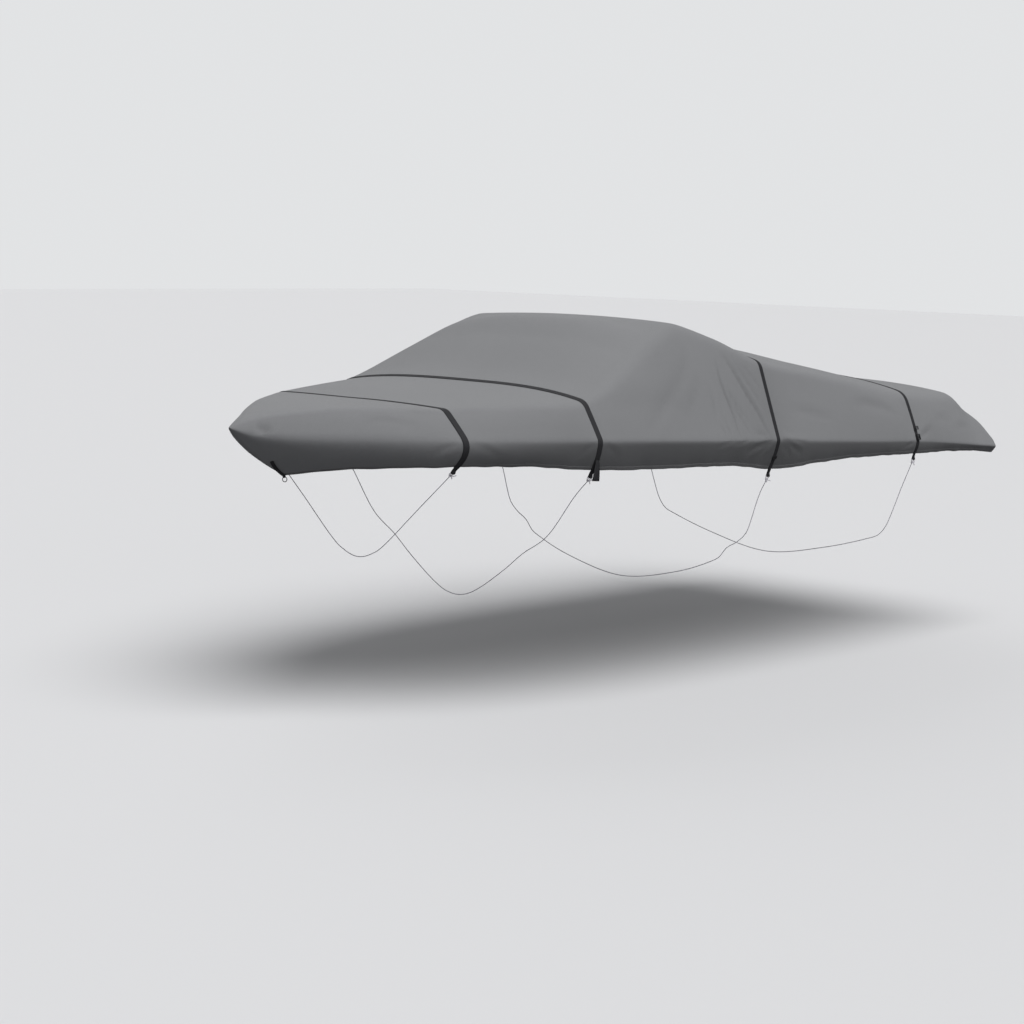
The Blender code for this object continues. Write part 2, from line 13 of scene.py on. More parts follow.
import bpy
import numpy as np
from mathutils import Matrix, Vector

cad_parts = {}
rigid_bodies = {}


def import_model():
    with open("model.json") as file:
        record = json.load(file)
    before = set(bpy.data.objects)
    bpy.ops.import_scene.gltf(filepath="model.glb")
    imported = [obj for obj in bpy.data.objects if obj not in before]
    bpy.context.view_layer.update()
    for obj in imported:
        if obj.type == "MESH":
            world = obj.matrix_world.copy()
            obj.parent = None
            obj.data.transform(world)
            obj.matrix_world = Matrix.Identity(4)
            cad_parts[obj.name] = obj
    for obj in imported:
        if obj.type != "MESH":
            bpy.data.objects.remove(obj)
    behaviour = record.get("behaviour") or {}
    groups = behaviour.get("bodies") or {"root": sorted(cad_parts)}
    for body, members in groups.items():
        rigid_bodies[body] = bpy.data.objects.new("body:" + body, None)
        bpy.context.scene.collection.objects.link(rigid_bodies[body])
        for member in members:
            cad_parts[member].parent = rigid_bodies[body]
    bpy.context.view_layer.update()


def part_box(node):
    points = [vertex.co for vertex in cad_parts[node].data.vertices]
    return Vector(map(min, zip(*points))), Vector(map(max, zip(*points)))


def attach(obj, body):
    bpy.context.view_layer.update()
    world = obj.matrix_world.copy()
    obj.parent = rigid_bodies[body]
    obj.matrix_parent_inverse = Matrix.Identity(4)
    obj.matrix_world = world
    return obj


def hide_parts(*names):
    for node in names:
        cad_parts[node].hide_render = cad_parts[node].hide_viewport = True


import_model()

# %% [markdown]
# The frame's origin lies under the crown of the hump. The tables below are easier to read
# when x starts at the bow tip and z at the floor, so every point is shifted at the end.

# %% Shift from table measures to the frame
CROWN = np.array([2.30, 0.0, 1.868])


def to_frame(points):
    """Table measures to the frame, for one point or many."""
    return np.asarray(points, float) - CROWN


print("floor at z =", to_frame((0, 0, 0))[2])

# %% [markdown]
# ## Camera
# A long lens looks across the port bow from standing height. It is tipped down by seven
# degrees and rolled by a little over one, as hand-held photographs are, so that every
# edge of the cover falls where it does in the photograph.

# %% Camera
EYE = (-6.540, -8.019, 2.281)
TURN = 0.814
TIP_DOWN = math.radians(7.12)
ROLL = 0.023

camera = bpy.data.objects.new("camera", bpy.data.cameras.new("camera"))
bpy.context.scene.collection.objects.link(camera)
level_right = Vector((math.cos(TURN), -math.sin(TURN), 0))
level_ahead = Vector((math.sin(TURN), math.cos(TURN), 0))
ahead = level_ahead * math.cos(TIP_DOWN) - Vector((0, 0, 1)) * math.sin(TIP_DOWN)
above = Vector((0, 0, 1)) * math.cos(TIP_DOWN) + level_ahead * math.sin(TIP_DOWN)
right = level_right * math.cos(ROLL) + above * math.sin(ROLL)
up = above * math.cos(ROLL) - level_right * math.sin(ROLL)
matrix = camera.matrix_world.copy()
for row in range(3):
    matrix[row][0], matrix[row][1], matrix[row][2] = right[row], up[row], -ahead[row]
    matrix[row][3] = to_frame(EYE)[row]
camera.matrix_world = matrix
camera.data.lens = 77.36
camera.data.sensor_width = 36.0
camera.data.clip_end = 200
bpy.context.scene.camera = camera
print("camera at", [round(v, 2) for v in camera.location])

# %% [markdown]
# ## Floor and light
# Three broad soft lights stand round the cover. The key light is high on the camera's
# side and reaches the top and the side panels almost equally. A low fill opens the shade
# below the rail line a little, and a third light shapes the far side. The floor is pale
# but throws little light back, as if dark cards lay under the cover.

# %% Floor and lights
FLOOR_REACH = 60.0
FLOOR_CORNERS = ((-1, -1), (1, -1), (1, 1), (-1, 1))
FLOOR_LIT, FLOOR_SEEN = (0.15, 0.15, 0.155), (0.64, 0.64, 0.65)


def studio_dome(colour_seen, colour_lit, strength):
    """Plain backdrop for the camera, and a weaker grey dome for the light."""
    world = bpy.data.worlds.new("studio")
    bpy.context.scene.world = world
    world.use_nodes = True
    nodes, links = world.node_tree.nodes, world.node_tree.links
    nodes.clear()
    out = nodes.new("ShaderNodeOutputWorld")
    mix = nodes.new("ShaderNodeMixShader")
    seen = nodes.new("ShaderNodeBackground")
    lit = nodes.new("ShaderNodeBackground")
    path = nodes.new("ShaderNodeLightPath")
    seen.inputs["Color"].default_value = (*colour_seen, 1)
    lit.inputs["Color"].default_value = (*colour_lit, 1)
    lit.inputs["Strength"].default_value = strength
    links.new(path.outputs["Is Camera Ray"], mix.inputs[0])
    links.new(lit.outputs[0], mix.inputs[1])
    links.new(seen.outputs[0], mix.inputs[2])
    links.new(mix.outputs[0], out.inputs["Surface"])


def soft_sun(name, toward, spread, strength):
    """A very broad, even light from one direction, like a wall of softboxes."""
    lamp = bpy.data.lights.new(name, "SUN")
    lamp.angle = math.radians(spread)
    lamp.energy = strength
    obj = bpy.data.objects.new(name, lamp)
    bpy.context.scene.collection.objects.link(obj)
    obj.rotation_euler = (-Vector(toward)).to_track_quat("-Z", "Y").to_euler()


floor_mesh = bpy.data.meshes.new("floor")
floor_mesh.from_pydata([to_frame((x * FLOOR_REACH, y * FLOOR_REACH, 0.0))
                        for x, y in FLOOR_CORNERS], [], [(0, 1, 2, 3)])
floor = bpy.data.objects.new("floor", floor_mesh)
bpy.context.scene.collection.objects.link(floor)

floor_paint = bpy.data.materials.new("pale_floor")
floor_paint.use_nodes = True
paint = floor_paint.node_tree
shader = paint.nodes["Principled BSDF"]
shader.inputs["Roughness"].default_value = 0.9
path = paint.nodes.new("ShaderNodeLightPath")
tone = paint.nodes.new("ShaderNodeMix")
tone.data_type = "RGBA"
tone.inputs[6].default_value = (*FLOOR_LIT, 1)
tone.inputs[7].default_value = (*FLOOR_SEEN, 1)
paint.links.new(path.outputs["Is Camera Ray"], tone.inputs[0])
paint.links.new(tone.outputs[2], shader.inputs["Base Color"])
floor.data.materials.append(floor_paint)

studio_dome((0.76, 0.77, 0.78), (0.94, 0.97, 1.0), 0.17)
soft_sun("key", (-0.07, -0.43, 0.90), 56, 2.92)
soft_sun("fill", (-0.50, -0.85, 0.10), 60, 0.62)
soft_sun("far side", (0.35, 0.85, 0.40), 60, 0.75)
bpy.context.scene.view_settings.view_transform = "Standard"
print("lights:", sum(o.type == "LIGHT" for o in bpy.data.objects))

# %% [markdown]
# ## The shape of the sheet
# A long fitted cover is easiest to draw as a row of cross-sections. Each has a hem, a
# rail line where the cloth turns under, a ridge where the side panel meets the top, and
# a crown in the middle. A smooth curve that never overshoots joins each seam's heights,
# so a table of some twenty rows gives every point in between. STEM_RAKE is how far the
# stem's foot lies aft of its head, STEM_SLACK how much the cloth sags there, and HEEL how
# much higher the far ridge stands at the hump.

# %% Sections of the sheet
Station = namedtuple("Station", "x rail_y rail_z ridge_y ridge_z crown_z arch bulge under")
STATIONS = [
    Station(0.00, 0.000, 1.366, 0.000, 1.366, 1.366, 2.7, 0.000, 0.000),
    Station(0.10, 0.100, 1.326, 0.055, 1.402, 1.412, 2.7, 0.002, 0.006),
    Station(0.25, 0.246, 1.314, 0.165, 1.438, 1.449, 2.7, 0.004, 0.012),
    Station(0.45, 0.430, 1.317, 0.310, 1.461, 1.469, 2.8, 0.006, 0.020),
    Station(0.64, 0.596, 1.320, 0.455, 1.463, 1.472, 2.8, 0.008, 0.026),
    Station(0.836, 0.744, 1.321, 0.598, 1.462, 1.473, 2.8, 0.008, 0.028),
    Station(1.16, 0.875, 1.313, 0.745, 1.470, 1.500, 3.0, 0.006, 0.018),
    Station(1.49, 0.967, 1.304, 0.862, 1.480, 1.534, 3.2, 0.004, 0.009),
    Station(1.60, 0.990, 1.300, 0.863, 1.508, 1.568, 3.2, 0.004, 0.008),
    Station(1.95, 1.035, 1.287, 0.800, 1.664, 1.752, 3.0, 0.003, 0.006),
    Station(2.20, 1.052, 1.276, 0.745, 1.782, 1.868, 2.7, 0.002, 0.006),
    Station(2.40, 1.060, 1.266, 0.703, 1.850, 1.872, 2.4, 0.000, 0.006),
    Station(2.63, 1.066, 1.256, 0.808, 1.772, 1.847, 2.0, 0.000, 0.006),
    Station(2.863, 1.070, 1.247, 0.920, 1.655, 1.782, 2.0, 0.000, 0.006),
    Station(3.30, 1.070, 1.222, 0.934, 1.585, 1.706, 2.0, 0.004, 0.006),
    Station(3.80, 1.064, 1.194, 0.941, 1.505, 1.612, 2.3, 0.010, 0.006),
    Station(4.222, 1.052, 1.173, 0.942, 1.441, 1.532, 2.8, 0.015, 0.006),
    Station(4.60, 1.040, 1.142, 0.915, 1.418, 1.483, 2.8, 0.012, 0.004),
    Station(4.76, 1.034, 1.126, 0.900, 1.414, 1.469, 2.8, 0.010, 0.002),
    Station(4.92, 1.029, 1.110, 0.900, 1.328, 1.370, 2.6, 0.006, 0.000),
    Station(5.05, 1.024, 1.098, 0.940, 1.240, 1.266, 2.4, 0.003, 0.000),
    Station(5.13, 1.020, 1.090, 0.990, 1.138, 1.148, 2.4, 0.000, 0.000),
]
Hem = namedtuple("Hem", "x y z")
HEM = [
    Hem(0.345, 0.000, 1.120), Hem(0.40, 0.160, 1.148), Hem(0.56, 0.400, 1.174),
    Hem(0.836, 0.684, 1.190), Hem(1.14, 0.818, 1.187), Hem(1.34, 0.882, 1.172),
    Hem(1.537, 0.932, 1.156), Hem(1.71, 0.968, 1.149), Hem(1.97, 0.998, 1.142),
    Hem(2.26, 1.020, 1.136), Hem(2.46, 1.026, 1.130), Hem(2.69, 1.026, 1.109),
    Hem(2.863, 1.014, 1.089), Hem(2.98, 1.028, 1.088), Hem(3.25, 1.038, 1.102),
    Hem(3.57, 1.037, 1.109), Hem(3.90, 1.034, 1.105), Hem(4.222, 1.030, 1.098),
    Hem(4.60, 1.010, 1.090), Hem(5.13, 0.991, 1.060),
]
STEM_RAKE = 0.345
RAKE_END = 0.90
STEM_SLACK = 0.11
HEEL = 0.008
FLAP_X, FLAP_Z, FLAP_HALF = 5.137, 1.052, 0.982


def track(xs, ys):
    """A smooth curve through a table's values that never overshoots them."""
    xs, ys = np.asarray(xs, float), np.asarray(ys, float)
    step = np.diff(xs)
    slope = np.diff(ys) / step
    tangent = np.zeros(len(xs))
    tangent[0], tangent[-1] = slope[0], slope[-1]
    for i in range(1, len(xs) - 1):
        if slope[i - 1] * slope[i] > 0:
            before, after = 2 * step[i] + step[i - 1], step[i] + 2 * step[i - 1]
            tangent[i] = (before + after) / (before / slope[i - 1] + after / slope[i])

    def value(x):
        x = np.asarray(x, float)
        i = np.clip(np.searchsorted(xs, x) - 1, 0, len(step) - 1)
        t = np.clip((x - xs[i]) / step[i], 0, 1)
        return (
            (1 + 2 * t) * (1 - t) ** 2 * ys[i] + t * (1 - t) ** 2 * step[i] * tangent[i]
            + t * t * (3 - 2 * t) * ys[i + 1] + t * t * (t - 1) * step[i] * tangent[i + 1])

    return value


SEAM = {name: track([s.x for s in STATIONS], [getattr(s, name) for s in STATIONS])
        for name in Station._fields[1:]}
HEM_Y = track([h.x for h in HEM], [h.y for h in HEM])
HEM_Z = track([h.x for h in HEM], [h.z for h in HEM])
RIDGE_PLACES = [0, 0.25, 0.836, 1.537, 1.9, 2.4, 2.75, 2.863, 4.22, 4.76, 5.0, 5.13]
ROUND_RIDGE = {
    -1: track(RIDGE_PLACES,
              [0.004, 0.018, 0.026, 0.034, 0.052, 0.060, 0.044, 0.032, 0.048, 0.055, 0.03, 0.012]),
    1: track(RIDGE_PLACES,
             [0.004, 0.014, 0.020, 0.026, 0.030, 0.032, 0.030, 0.026, 0.026, 0.030, 0.02, 0.012]),
}
ROUND_RAIL = track([0, 0.4, 0.9, 1.5, 2.4, 5.13], [0.032, 0.042, 0.028, 0.018, 0.011, 0.011])
STRAP_LINES = (0.836, 1.537, 2.863, 4.222)
STRAP_PINCH, PINCH_REACH = 0.75, 0.10
NOSE_REACH, NOSE_ROUND = 0.30, 0.009
print("sections:", len(STATIONS), "rows, hem:", len(HEM), "rows")

# %% [markdown]
# A place on one half of the sheet has two measures: x along it, and "lift", which counts
# 0 at the hem, 1 at the rail line, 2 at the ridge and 3 at the crown. Cloth cannot turn
# a knife-sharp corner, so the corners at rail and ridge are rounded by averaging each
# section over a short stretch of its own length. Straps pinch the side panels' bulge flat,
# and the bow's tip is blunted by the width of the cloth's turning.

# %% Half sections, with rounded corners
DENSE = np.concatenate([np.linspace(0, 1, 21), np.linspace(1, 2, 25)[1:],
                        np.linspace(2, 3, 41)[1:]])


def below_rail(x, rake, share):
    """The place along the sheet below the rail line, where the stem rakes aft and sags."""
    return x + rake * (share ** 1.15 - STEM_SLACK * 4 * share * share * (1 - share))


def sharp_half(x, side):
    """Half sections at the stations x, at every DENSE lift. Shape (stations, lifts, 3)."""
    x = np.asarray(x, float)[:, None]
    lift = DENSE[None, :]
    seam = {name: value(x) for name, value in SEAM.items()}
    if side > 0:
        heeled = np.clip((2.4 - x) / 0.4, 0, 1) * np.clip(x / 0.9, 0, 1)
        seam["ridge_z"] = seam["ridge_z"] + HEEL * heeled
    rake = STEM_RAKE * np.clip(1 - x / RAKE_END, 0, 1) ** 2
    s = np.clip(1 - lift, 0, 1)
    px = below_rail(x, rake, s)
    py = seam["rail_y"] + (HEM_Y(x + rake) - seam["rail_y"]) * s + seam["under"] * 4 * s * (1 - s)
    pz = seam["rail_z"] + (HEM_Z(x + rake) - seam["rail_z"]) * s
    s = np.clip(lift - 1, 0, 1)
    rise = seam["ridge_z"] - seam["rail_z"]
    inward = seam["rail_y"] - seam["ridge_y"]
    width = np.maximum(np.hypot(rise, inward), 1e-6)
    pinch = 1 - STRAP_PINCH * sum(np.exp(-((x - p) / PINCH_REACH) ** 2) for p in STRAP_LINES)
    out = seam["bulge"] * 4 * s * (1 - s) * pinch
    py = np.where(lift > 1, seam["rail_y"] - inward * s + out * rise / width, py)
    pz = np.where(lift > 1, seam["rail_z"] + rise * s + out * inward / width, pz)
    turn = np.cos(np.pi / 2 * np.clip(lift - 2, 0, 1))
    py = np.where(lift > 2, seam["ridge_y"] * turn, py)
    drop = (seam["crown_z"] - seam["ridge_z"]) * turn ** seam["arch"]
    pz = np.where(lift > 2, seam["crown_z"] - drop, pz)
    nose = np.clip(1 - x / NOSE_REACH, 0, 1) ** 2
    px = px + (np.sqrt(py * py + NOSE_ROUND ** 2) - py) * nose
    return np.stack([px, side * py, pz], -1)


def half_sheet(x, lift, side):
    """Rounded half sections at stations x and lifts. Shape (stations, lifts, 3)."""
    x, lift = np.asarray(x, float), np.asarray(lift, float)
    sharp = sharp_half(x, side)
    run = np.zeros(sharp.shape[:2])
    run[:, 1:] = np.cumsum(np.linalg.norm(np.diff(sharp, axis=1), axis=2), axis=1)
    made = np.zeros((len(x), len(lift), 3))
    spread = np.linspace(-1, 1, 11)
    ridge_round, rail_round = ROUND_RIDGE[side](x), ROUND_RAIL(x)
    at_rail, at_ridge = np.argmin(abs(DENSE - 1)), np.argmin(abs(DENSE - 2))
    for i in range(len(x)):
        place = np.interp(lift, DENSE, run[i])
        near_rail = abs(place - run[i, at_rail]) < abs(place - run[i, at_ridge])
        radius = np.where(near_rail, rail_round[i] * min(1.0, x[i] / 0.08), ridge_round[i])
        radius = np.minimum(radius, np.minimum(place, run[i, -1] - place))
        window = place[:, None] + radius[:, None] * spread[None, :]
        for k in range(3):
            made[i, :, k] = np.interp(window, run[i], sharp[i, :, k]).mean(1)
    return made


def clustered(start, end, count):
    """Steps from start to end that are finer at both ends."""
    return start + (end - start) * (0.5 - 0.5 * np.cos(np.pi * np.arange(count) / count))


HALF_LIFTS = np.concatenate([clustered(0, 1, 14), clustered(1, 2, 22), np.linspace(2, 3, 17)])
print("half section:", len(HALF_LIFTS), "points")

# %% [markdown]
# ## Folds
# The sheet is drawn tight from the hump down to the straps, and it puckers where it runs
# out of room. Each fold is placed along a line on the sheet: a soft trough with a low
# ridge beside it. The port side has the photograph's folds, and the starboard side
# has its own, because no two sides of real cloth crease alike. A row reads: the trough's
# depth and half width, the ridge's height as a share of that depth, and the line's places.

# %% Fold table
Fold = namedtuple("Fold", "depth width ridge line")
PORT_ROWS = [
    (0.0072, 0.0100, 0.45, (2.63, 1.86), (2.672, 1.70), (2.706, 1.52), (2.749, 1.33), (2.80, 1.01)),
    (0.0044, 0.0078, 0.50,
     (2.585, 1.76), (2.562, 1.60), (2.557, 1.42), (2.561, 1.24), (2.55, 0.97)),
    (0.0035, 0.0090, 0.50, (2.57, 1.52), (2.60, 1.40), (2.63, 1.30), (2.665, 1.20)),
    (0.0028, 0.0090, 0.50, (2.57, 1.40), (2.595, 1.30), (2.62, 1.18), (2.64, 1.06)),
    (0.0038, 0.0130, 0.40, (2.67, 1.84), (2.71, 1.74), (2.75, 1.60), (2.79, 1.44)),
    (0.0028, 0.0110, 0.40, (2.72, 1.86), (2.77, 1.76), (2.82, 1.62)),
    (0.0060, 0.0260, 0.35, (2.42, 1.76), (2.33, 1.62), (2.21, 1.53), (2.07, 1.42), (1.83, 1.10)),
    (0.0036, 0.0170, 0.35, (2.42, 1.52), (2.35, 1.44), (2.28, 1.36), (2.18, 1.22)),
    (0.0032, 0.0130, 0.50, (2.475, 1.44), (2.45, 1.30), (2.41, 1.16)),
    (0.0022, 0.0110, 0.50, (2.49, 1.20), (2.485, 1.10), (2.48, 1.00)),
    (0.0022, 0.0110, 0.50, (2.445, 1.16), (2.44, 1.08), (2.44, 1.00)),
    (0.0030, 0.0100, 0.50, (2.66, 1.12), (2.72, 1.075), (2.79, 1.05)),
    (0.0050, 0.0550, 0.20, (1.55, 1.86), (1.75, 1.62), (1.95, 1.46), (2.17, 1.35), (2.36, 1.30)),
    (0.0050, 0.0120, 0.60, (2.83, 0.99), (2.76, 0.90), (2.68, 0.76), (2.60, 0.50)),
    (0.0036, 0.0110, 0.60, (2.82, 0.90), (2.76, 0.74), (2.71, 0.52)),
    (0.0026, 0.0090, 0.60, (2.62, 1.00), (2.56, 0.92), (2.47, 0.86)),
    (0.0022, 0.0090, 0.60, (2.52, 1.00), (2.44, 0.90), (2.36, 0.80)),
    (0.0050, 0.0120, 0.60, (2.89, 0.99), (2.95, 0.88), (3.03, 0.70), (3.10, 0.50)),
    (0.0036, 0.0100, 0.60, (2.895, 0.88), (2.96, 0.66), (3.00, 0.42)),
    (0.0030, 0.0100, 0.60, (2.90, 1.02), (3.00, 0.96), (3.12, 0.90)),
    (0.0045, 0.0220, 0.50, (3.62, 1.60), (3.78, 1.655), (3.94, 1.62), (4.08, 1.50)),
    (0.0035, 0.0180, 0.40, (3.02, 1.46), (3.15, 1.42), (3.28, 1.38), (3.42, 1.36)),
    (0.0030, 0.0220, 0.40, (4.46, 1.48), (4.58, 1.49), (4.68, 1.47)),
    (0.0040, 0.0150, 0.50, (4.245, 1.05), (4.32, 1.17), (4.42, 1.30)),
    (0.0026, 0.0160, 0.50, (4.68, 1.30), (4.78, 1.36), (4.88, 1.43)),
    (0.0028, 0.0100, 0.60, (4.20, 0.95), (4.13, 0.72), (4.08, 0.45)),
    (0.0030, 0.0090, 0.60, (0.155, 1.72), (0.14, 1.45), (0.125, 1.18), (0.12, 1.02)),
    (0.0045, 0.0260, 0.20, (0.10, 1.62), (0.12, 1.40), (0.12, 1.15)),
    (0.0026, 0.0160, 0.35, (0.49, 1.50), (0.55, 1.60), (0.62, 1.56), (0.70, 1.42)),
    (0.0024, 0.0150, 0.40, (0.67, 1.80), (0.74, 1.86), (0.80, 1.93)),
    (0.0024, 0.0150, 0.40, (0.87, 1.86), (0.94, 1.93), (1.01, 1.96)),
    (0.0036, 0.0130, 0.60, (0.80, 0.92), (0.74, 0.70), (0.70, 0.40)),
    (0.0030, 0.0130, 0.60, (0.87, 0.90), (0.94, 0.66), (1.01, 0.34)),
    (0.0026, 0.0120, 0.60, (1.565, 0.94), (1.62, 0.70), (1.68, 0.45)),
    (0.0026, 0.0120, 0.60, (1.51, 0.94), (1.46, 0.72), (1.42, 0.45)),
]
STARBOARD_ROWS = [
    (0.0080, 0.017, 0.60, (2.66, 1.84), (2.65, 1.60), (2.61, 1.34), (2.58, 1.05)),
    (0.0065, 0.015, 0.60, (2.70, 1.80), (2.74, 1.55), (2.76, 1.28), (2.79, 1.02)),
    (0.0045, 0.016, 0.50, (2.60, 1.74), (2.52, 1.46), (2.45, 1.15)),
    (0.0050, 0.040, 0.30, (2.40, 1.70), (2.20, 1.44), (2.04, 1.20)),
    (0.0050, 0.055, 0.20, (1.56, 1.84), (1.80, 1.56), (2.05, 1.40), (2.30, 1.32)),
    (0.0045, 0.015, 0.70, (2.89, 0.97), (2.96, 0.80), (3.04, 0.52)),
    (0.0045, 0.015, 0.70, (2.83, 0.96), (2.74, 0.78), (2.64, 0.50)),
    (0.0040, 0.028, 0.40, (3.40, 1.40), (3.62, 1.52), (3.86, 1.56)),
    (0.0035, 0.024, 0.50, (4.20, 1.08), (4.10, 1.24), (3.98, 1.34)),
    (0.0035, 0.024, 0.40, (4.44, 1.30), (4.60, 1.42), (4.74, 1.44)),
    (0.0030, 0.012, 0.50, (0.19, 1.66), (0.18, 1.38), (0.17, 1.06)),
    (0.0030, 0.024, 0.40, (0.40, 1.34), (0.52, 1.48), (0.66, 1.50)),
    (0.0035, 0.016, 0.60, (0.80, 0.90), (0.74, 0.60), (0.71, 0.30)),
    (0.0035, 0.016, 0.60, (1.57, 0.90), (1.66, 0.64), (1.74, 0.36)),
]
FOLDS = {side: [Fold(depth, width, ridge, line) for depth, width, ridge, *line in rows]
         for side, rows in ((-1, PORT_ROWS), (1, STARBOARD_ROWS))}
FOLD_STEPS, FOLD_MARGIN, FOLD_FADE = 25, 4, 0.7
# The last of these sets how dark a crease is painted, as painted shade, by its steepness.
RIDGE_OFF, RIDGE_WIDTH, CREASE_SHADE_GAIN = 2.0, 1.3, 0.45


def fold_depth(points, side):
    """How far each point is pushed in (negative) or out by the folds, and its painted crease shade.
    """
    moved, inside = np.zeros(points.shape[:-1]), np.zeros(points.shape[:-1])
    flat = points[..., [0, 2]]
    for fold in FOLDS[side]:
        xs, lifts = np.array(fold.line).T
        fine, knots = np.linspace(0, 1, FOLD_STEPS), np.linspace(0, 1, len(xs))
        places = zip(np.interp(fine, knots, xs), np.interp(fine, knots, lifts))
        line = np.stack([half_sheet([a], [b], side)[0, 0, [0, 2]] for a, b in places])
        margin = FOLD_MARGIN * fold.width
        near = ((flat > line.min(0) - margin) & (flat < line.max(0) + margin)).all(-1)
        if not near.any():
            continue
        spots = flat[near]
        best, off, along = np.full(len(spots), 1e9), np.zeros(len(spots)), np.zeros(len(spots))
        for i, (a, b) in enumerate(zip(line, line[1:])):
            run = b - a
            t = np.clip((spots - a) @ run / (run @ run), 0, 1)
            gap = spots - a - t[:, None] * run
            distance = np.hypot(gap[:, 0], gap[:, 1])
            closer = distance < best
            best = np.where(closer, distance, best)
            turn = np.sign(run[0] * gap[:, 1] - run[1] * gap[:, 0])
            off = np.where(closer, distance * turn, off)
            along = np.where(closer, (i + t) / (len(line) - 1), along)
        fade = np.sin(np.pi * np.clip(along, 0, 1)) ** FOLD_FADE
        trough = -np.exp(-(off / fold.width) ** 2)
        beside = (off - RIDGE_OFF * fold.width) / (RIDGE_WIDTH * fold.width)
        ridge = fold.ridge * np.exp(-beside ** 2)
        moved[near] += fold.depth * fade * (trough + ridge)
        # Painted shade: the trough is marked to be painted darker, as if shade fell in it.
        inside[near] -= trough * fade * min(1.0, CREASE_SHADE_GAIN * fold.depth / fold.width)
    return moved, inside


print("folds:", len(FOLDS[-1]), "port,", len(FOLDS[1]), "starboard")

# %% [markdown]
# Even where no fold shows, cloth is never dead flat. A few long, low waves break up the
# light, the hem puckers a little between the straps, and each strap presses a shallow
# groove into the sheet.

# %% Small unevenness
rng = np.random.default_rng(7)
WAVES = [(rng.uniform(4, 15), rng.uniform(3, 12), rng.uniform(0, 6.28), rng.uniform(0, 6.28))
         for _ in range(18)]
WAVE_HEIGHT, PUCKER, GROOVE = 0.0045, 0.0016, 0.0012


def unevenness(points, lift, side, places):
    """Low waves all over, puckers along the hem, and grooves under the straps."""
    x, y, z = np.moveaxis(points, -1, 0)
    moved = np.zeros(x.shape)
    for a, b, p, q in WAVES:
        moved += np.sin(a * x + p + side) * np.sin(b * (z + abs(y)) + q) * 0.9 / (a + b)
    moved *= WAVE_HEIGHT
    edge = np.clip(1 - lift, 0, 1)
    calm = np.ones_like(x)
    for s in STRAP_LINES:
        calm *= 1 - np.exp(-((x - s) / 0.05) ** 2)
    ripple = (np.sin(37 * x + side + np.sin(5 * x)) + 0.6 * np.sin(61 * x + 2 * side + 1)
              + np.sin(19 * x))
    moved += edge ** 2 * calm * PUCKER * ripple
    for s in STRAP_LINES:
        moved -= GROOVE * np.exp(-((x - s) / 0.022) ** 2)
    return moved * np.clip(np.asarray(places)[:, None] / 0.12, 0, 1)


print("waves:", len(WAVES))

# %% [markdown]
# Both halves are joined at the crown into one grid. Its normals carry the folds and the
# unevenness outward, and the same grid also gives the straps and the seams their bed.

# %% The sheet as a grid of points
def whole_sheet(x, lifts):
    """Points and lifts of whole sections, port hem to starboard hem."""
    port = half_sheet(x, lifts, -1)
    starboard = half_sheet(x, lifts, 1)
    base = np.concatenate([port, starboard[:, -2::-1]], 1)
    lift = np.concatenate([lifts, lifts[-2::-1]])[None, :] + np.zeros((len(x), 1))
    return base, lift


def normals_of(points):
    """Outward normals of a grid whose rows run aft and whose columns run port to starboard."""
    aft = np.gradient(points, axis=0)
    over = np.gradient(points, axis=1)
    normal = np.cross(aft, over)
    length = np.linalg.norm(normal, axis=2, keepdims=True)
    normal = normal / np.maximum(length, 1e-9)
    for i in range(len(points) - 1, -1, -1):
        weak = length[i, :, 0] < 1e-7
        if weak.any() and i + 1 < len(points):
            normal[i, weak] = normal[i + 1, weak]
    return normal


def draped(x, lifts):
    """The finished surface at stations x: points, outward normals, lifts and painted crease shade.
    """
    base, lift = whole_sheet(x, lifts)
    normal = normals_of(base)
    middle = base.shape[1] // 2
    moved, inside = np.zeros(base.shape[:2]), np.zeros(base.shape[:2])
    for side, part in ((-1, slice(0, middle)), (1, slice(middle + 1, None))):
        moved[:, part], inside[:, part] = fold_depth(base[:, part], side)
        moved[:, part] += unevenness(base[:, part], lift[:, part], side, x)
    crown = (moved[:, middle - 1] + moved[:, middle + 1]) / 2
    moved[:, middle] = crown
    for k, share in ((1, 0.7), (2, 0.4), (3, 0.2)):
        moved[:, middle - k] += (crown - moved[:, middle - k]) * share
        moved[:, middle + k] += (crown - moved[:, middle + k]) * share
    points = base + normal * moved[..., None]
    return points, normals_of(points), lift, inside


def sheet_stations():
    """Stations along the sheet, closer where it folds."""
    zones = [(0.0, 0.12, 0.006), (0.12, 2.2, 0.0165), (2.2, 2.48, 0.010), (2.48, 2.90, 0.0042),
             (2.90, 3.10, 0.009), (3.10, 4.75, 0.0185), (4.75, 5.13, 0.0135)]
    places = []
    for start, end, step in zones:
        count = round((end - start) / step)
        places += [start + (end - start) * i / count for i in range(count)]
    return np.array(places + [zones[-1][1]])


stations = sheet_stations()
sheet_points, _, sheet_lift, sheet_crease_shade = draped(stations, HALF_LIFTS)
print("sheet grid:", sheet_points.shape)

# %% [markdown]
# ## Mesh helpers
# Every piece below is rows of points swept into faces. A grid becomes a surface, a line
# becomes a round cord, and a line with a direction across it becomes flat webbing. Two
# measuring tools serve them all: how far along a line each point lies, and which place
# lies at a given distance along it.

# %% Meshes from rows of points
CURVE_STEPS = 24


def run_along(points):
    """Distance along a line from its first point to each of its points."""
    return np.concatenate([[0], np.cumsum(np.linalg.norm(np.diff(points, axis=0), axis=1))])


def at_distance(points, run, wanted):
    """Places, or other triples, at the wanted distances along a line."""
    return np.stack([np.interp(wanted, run, points[:, k]) for k in range(3)], -1)


def unit(v):
    """The same direction with length one."""
    v = np.asarray(v, float)
    return v / max(np.linalg.norm(v), 1e-9)


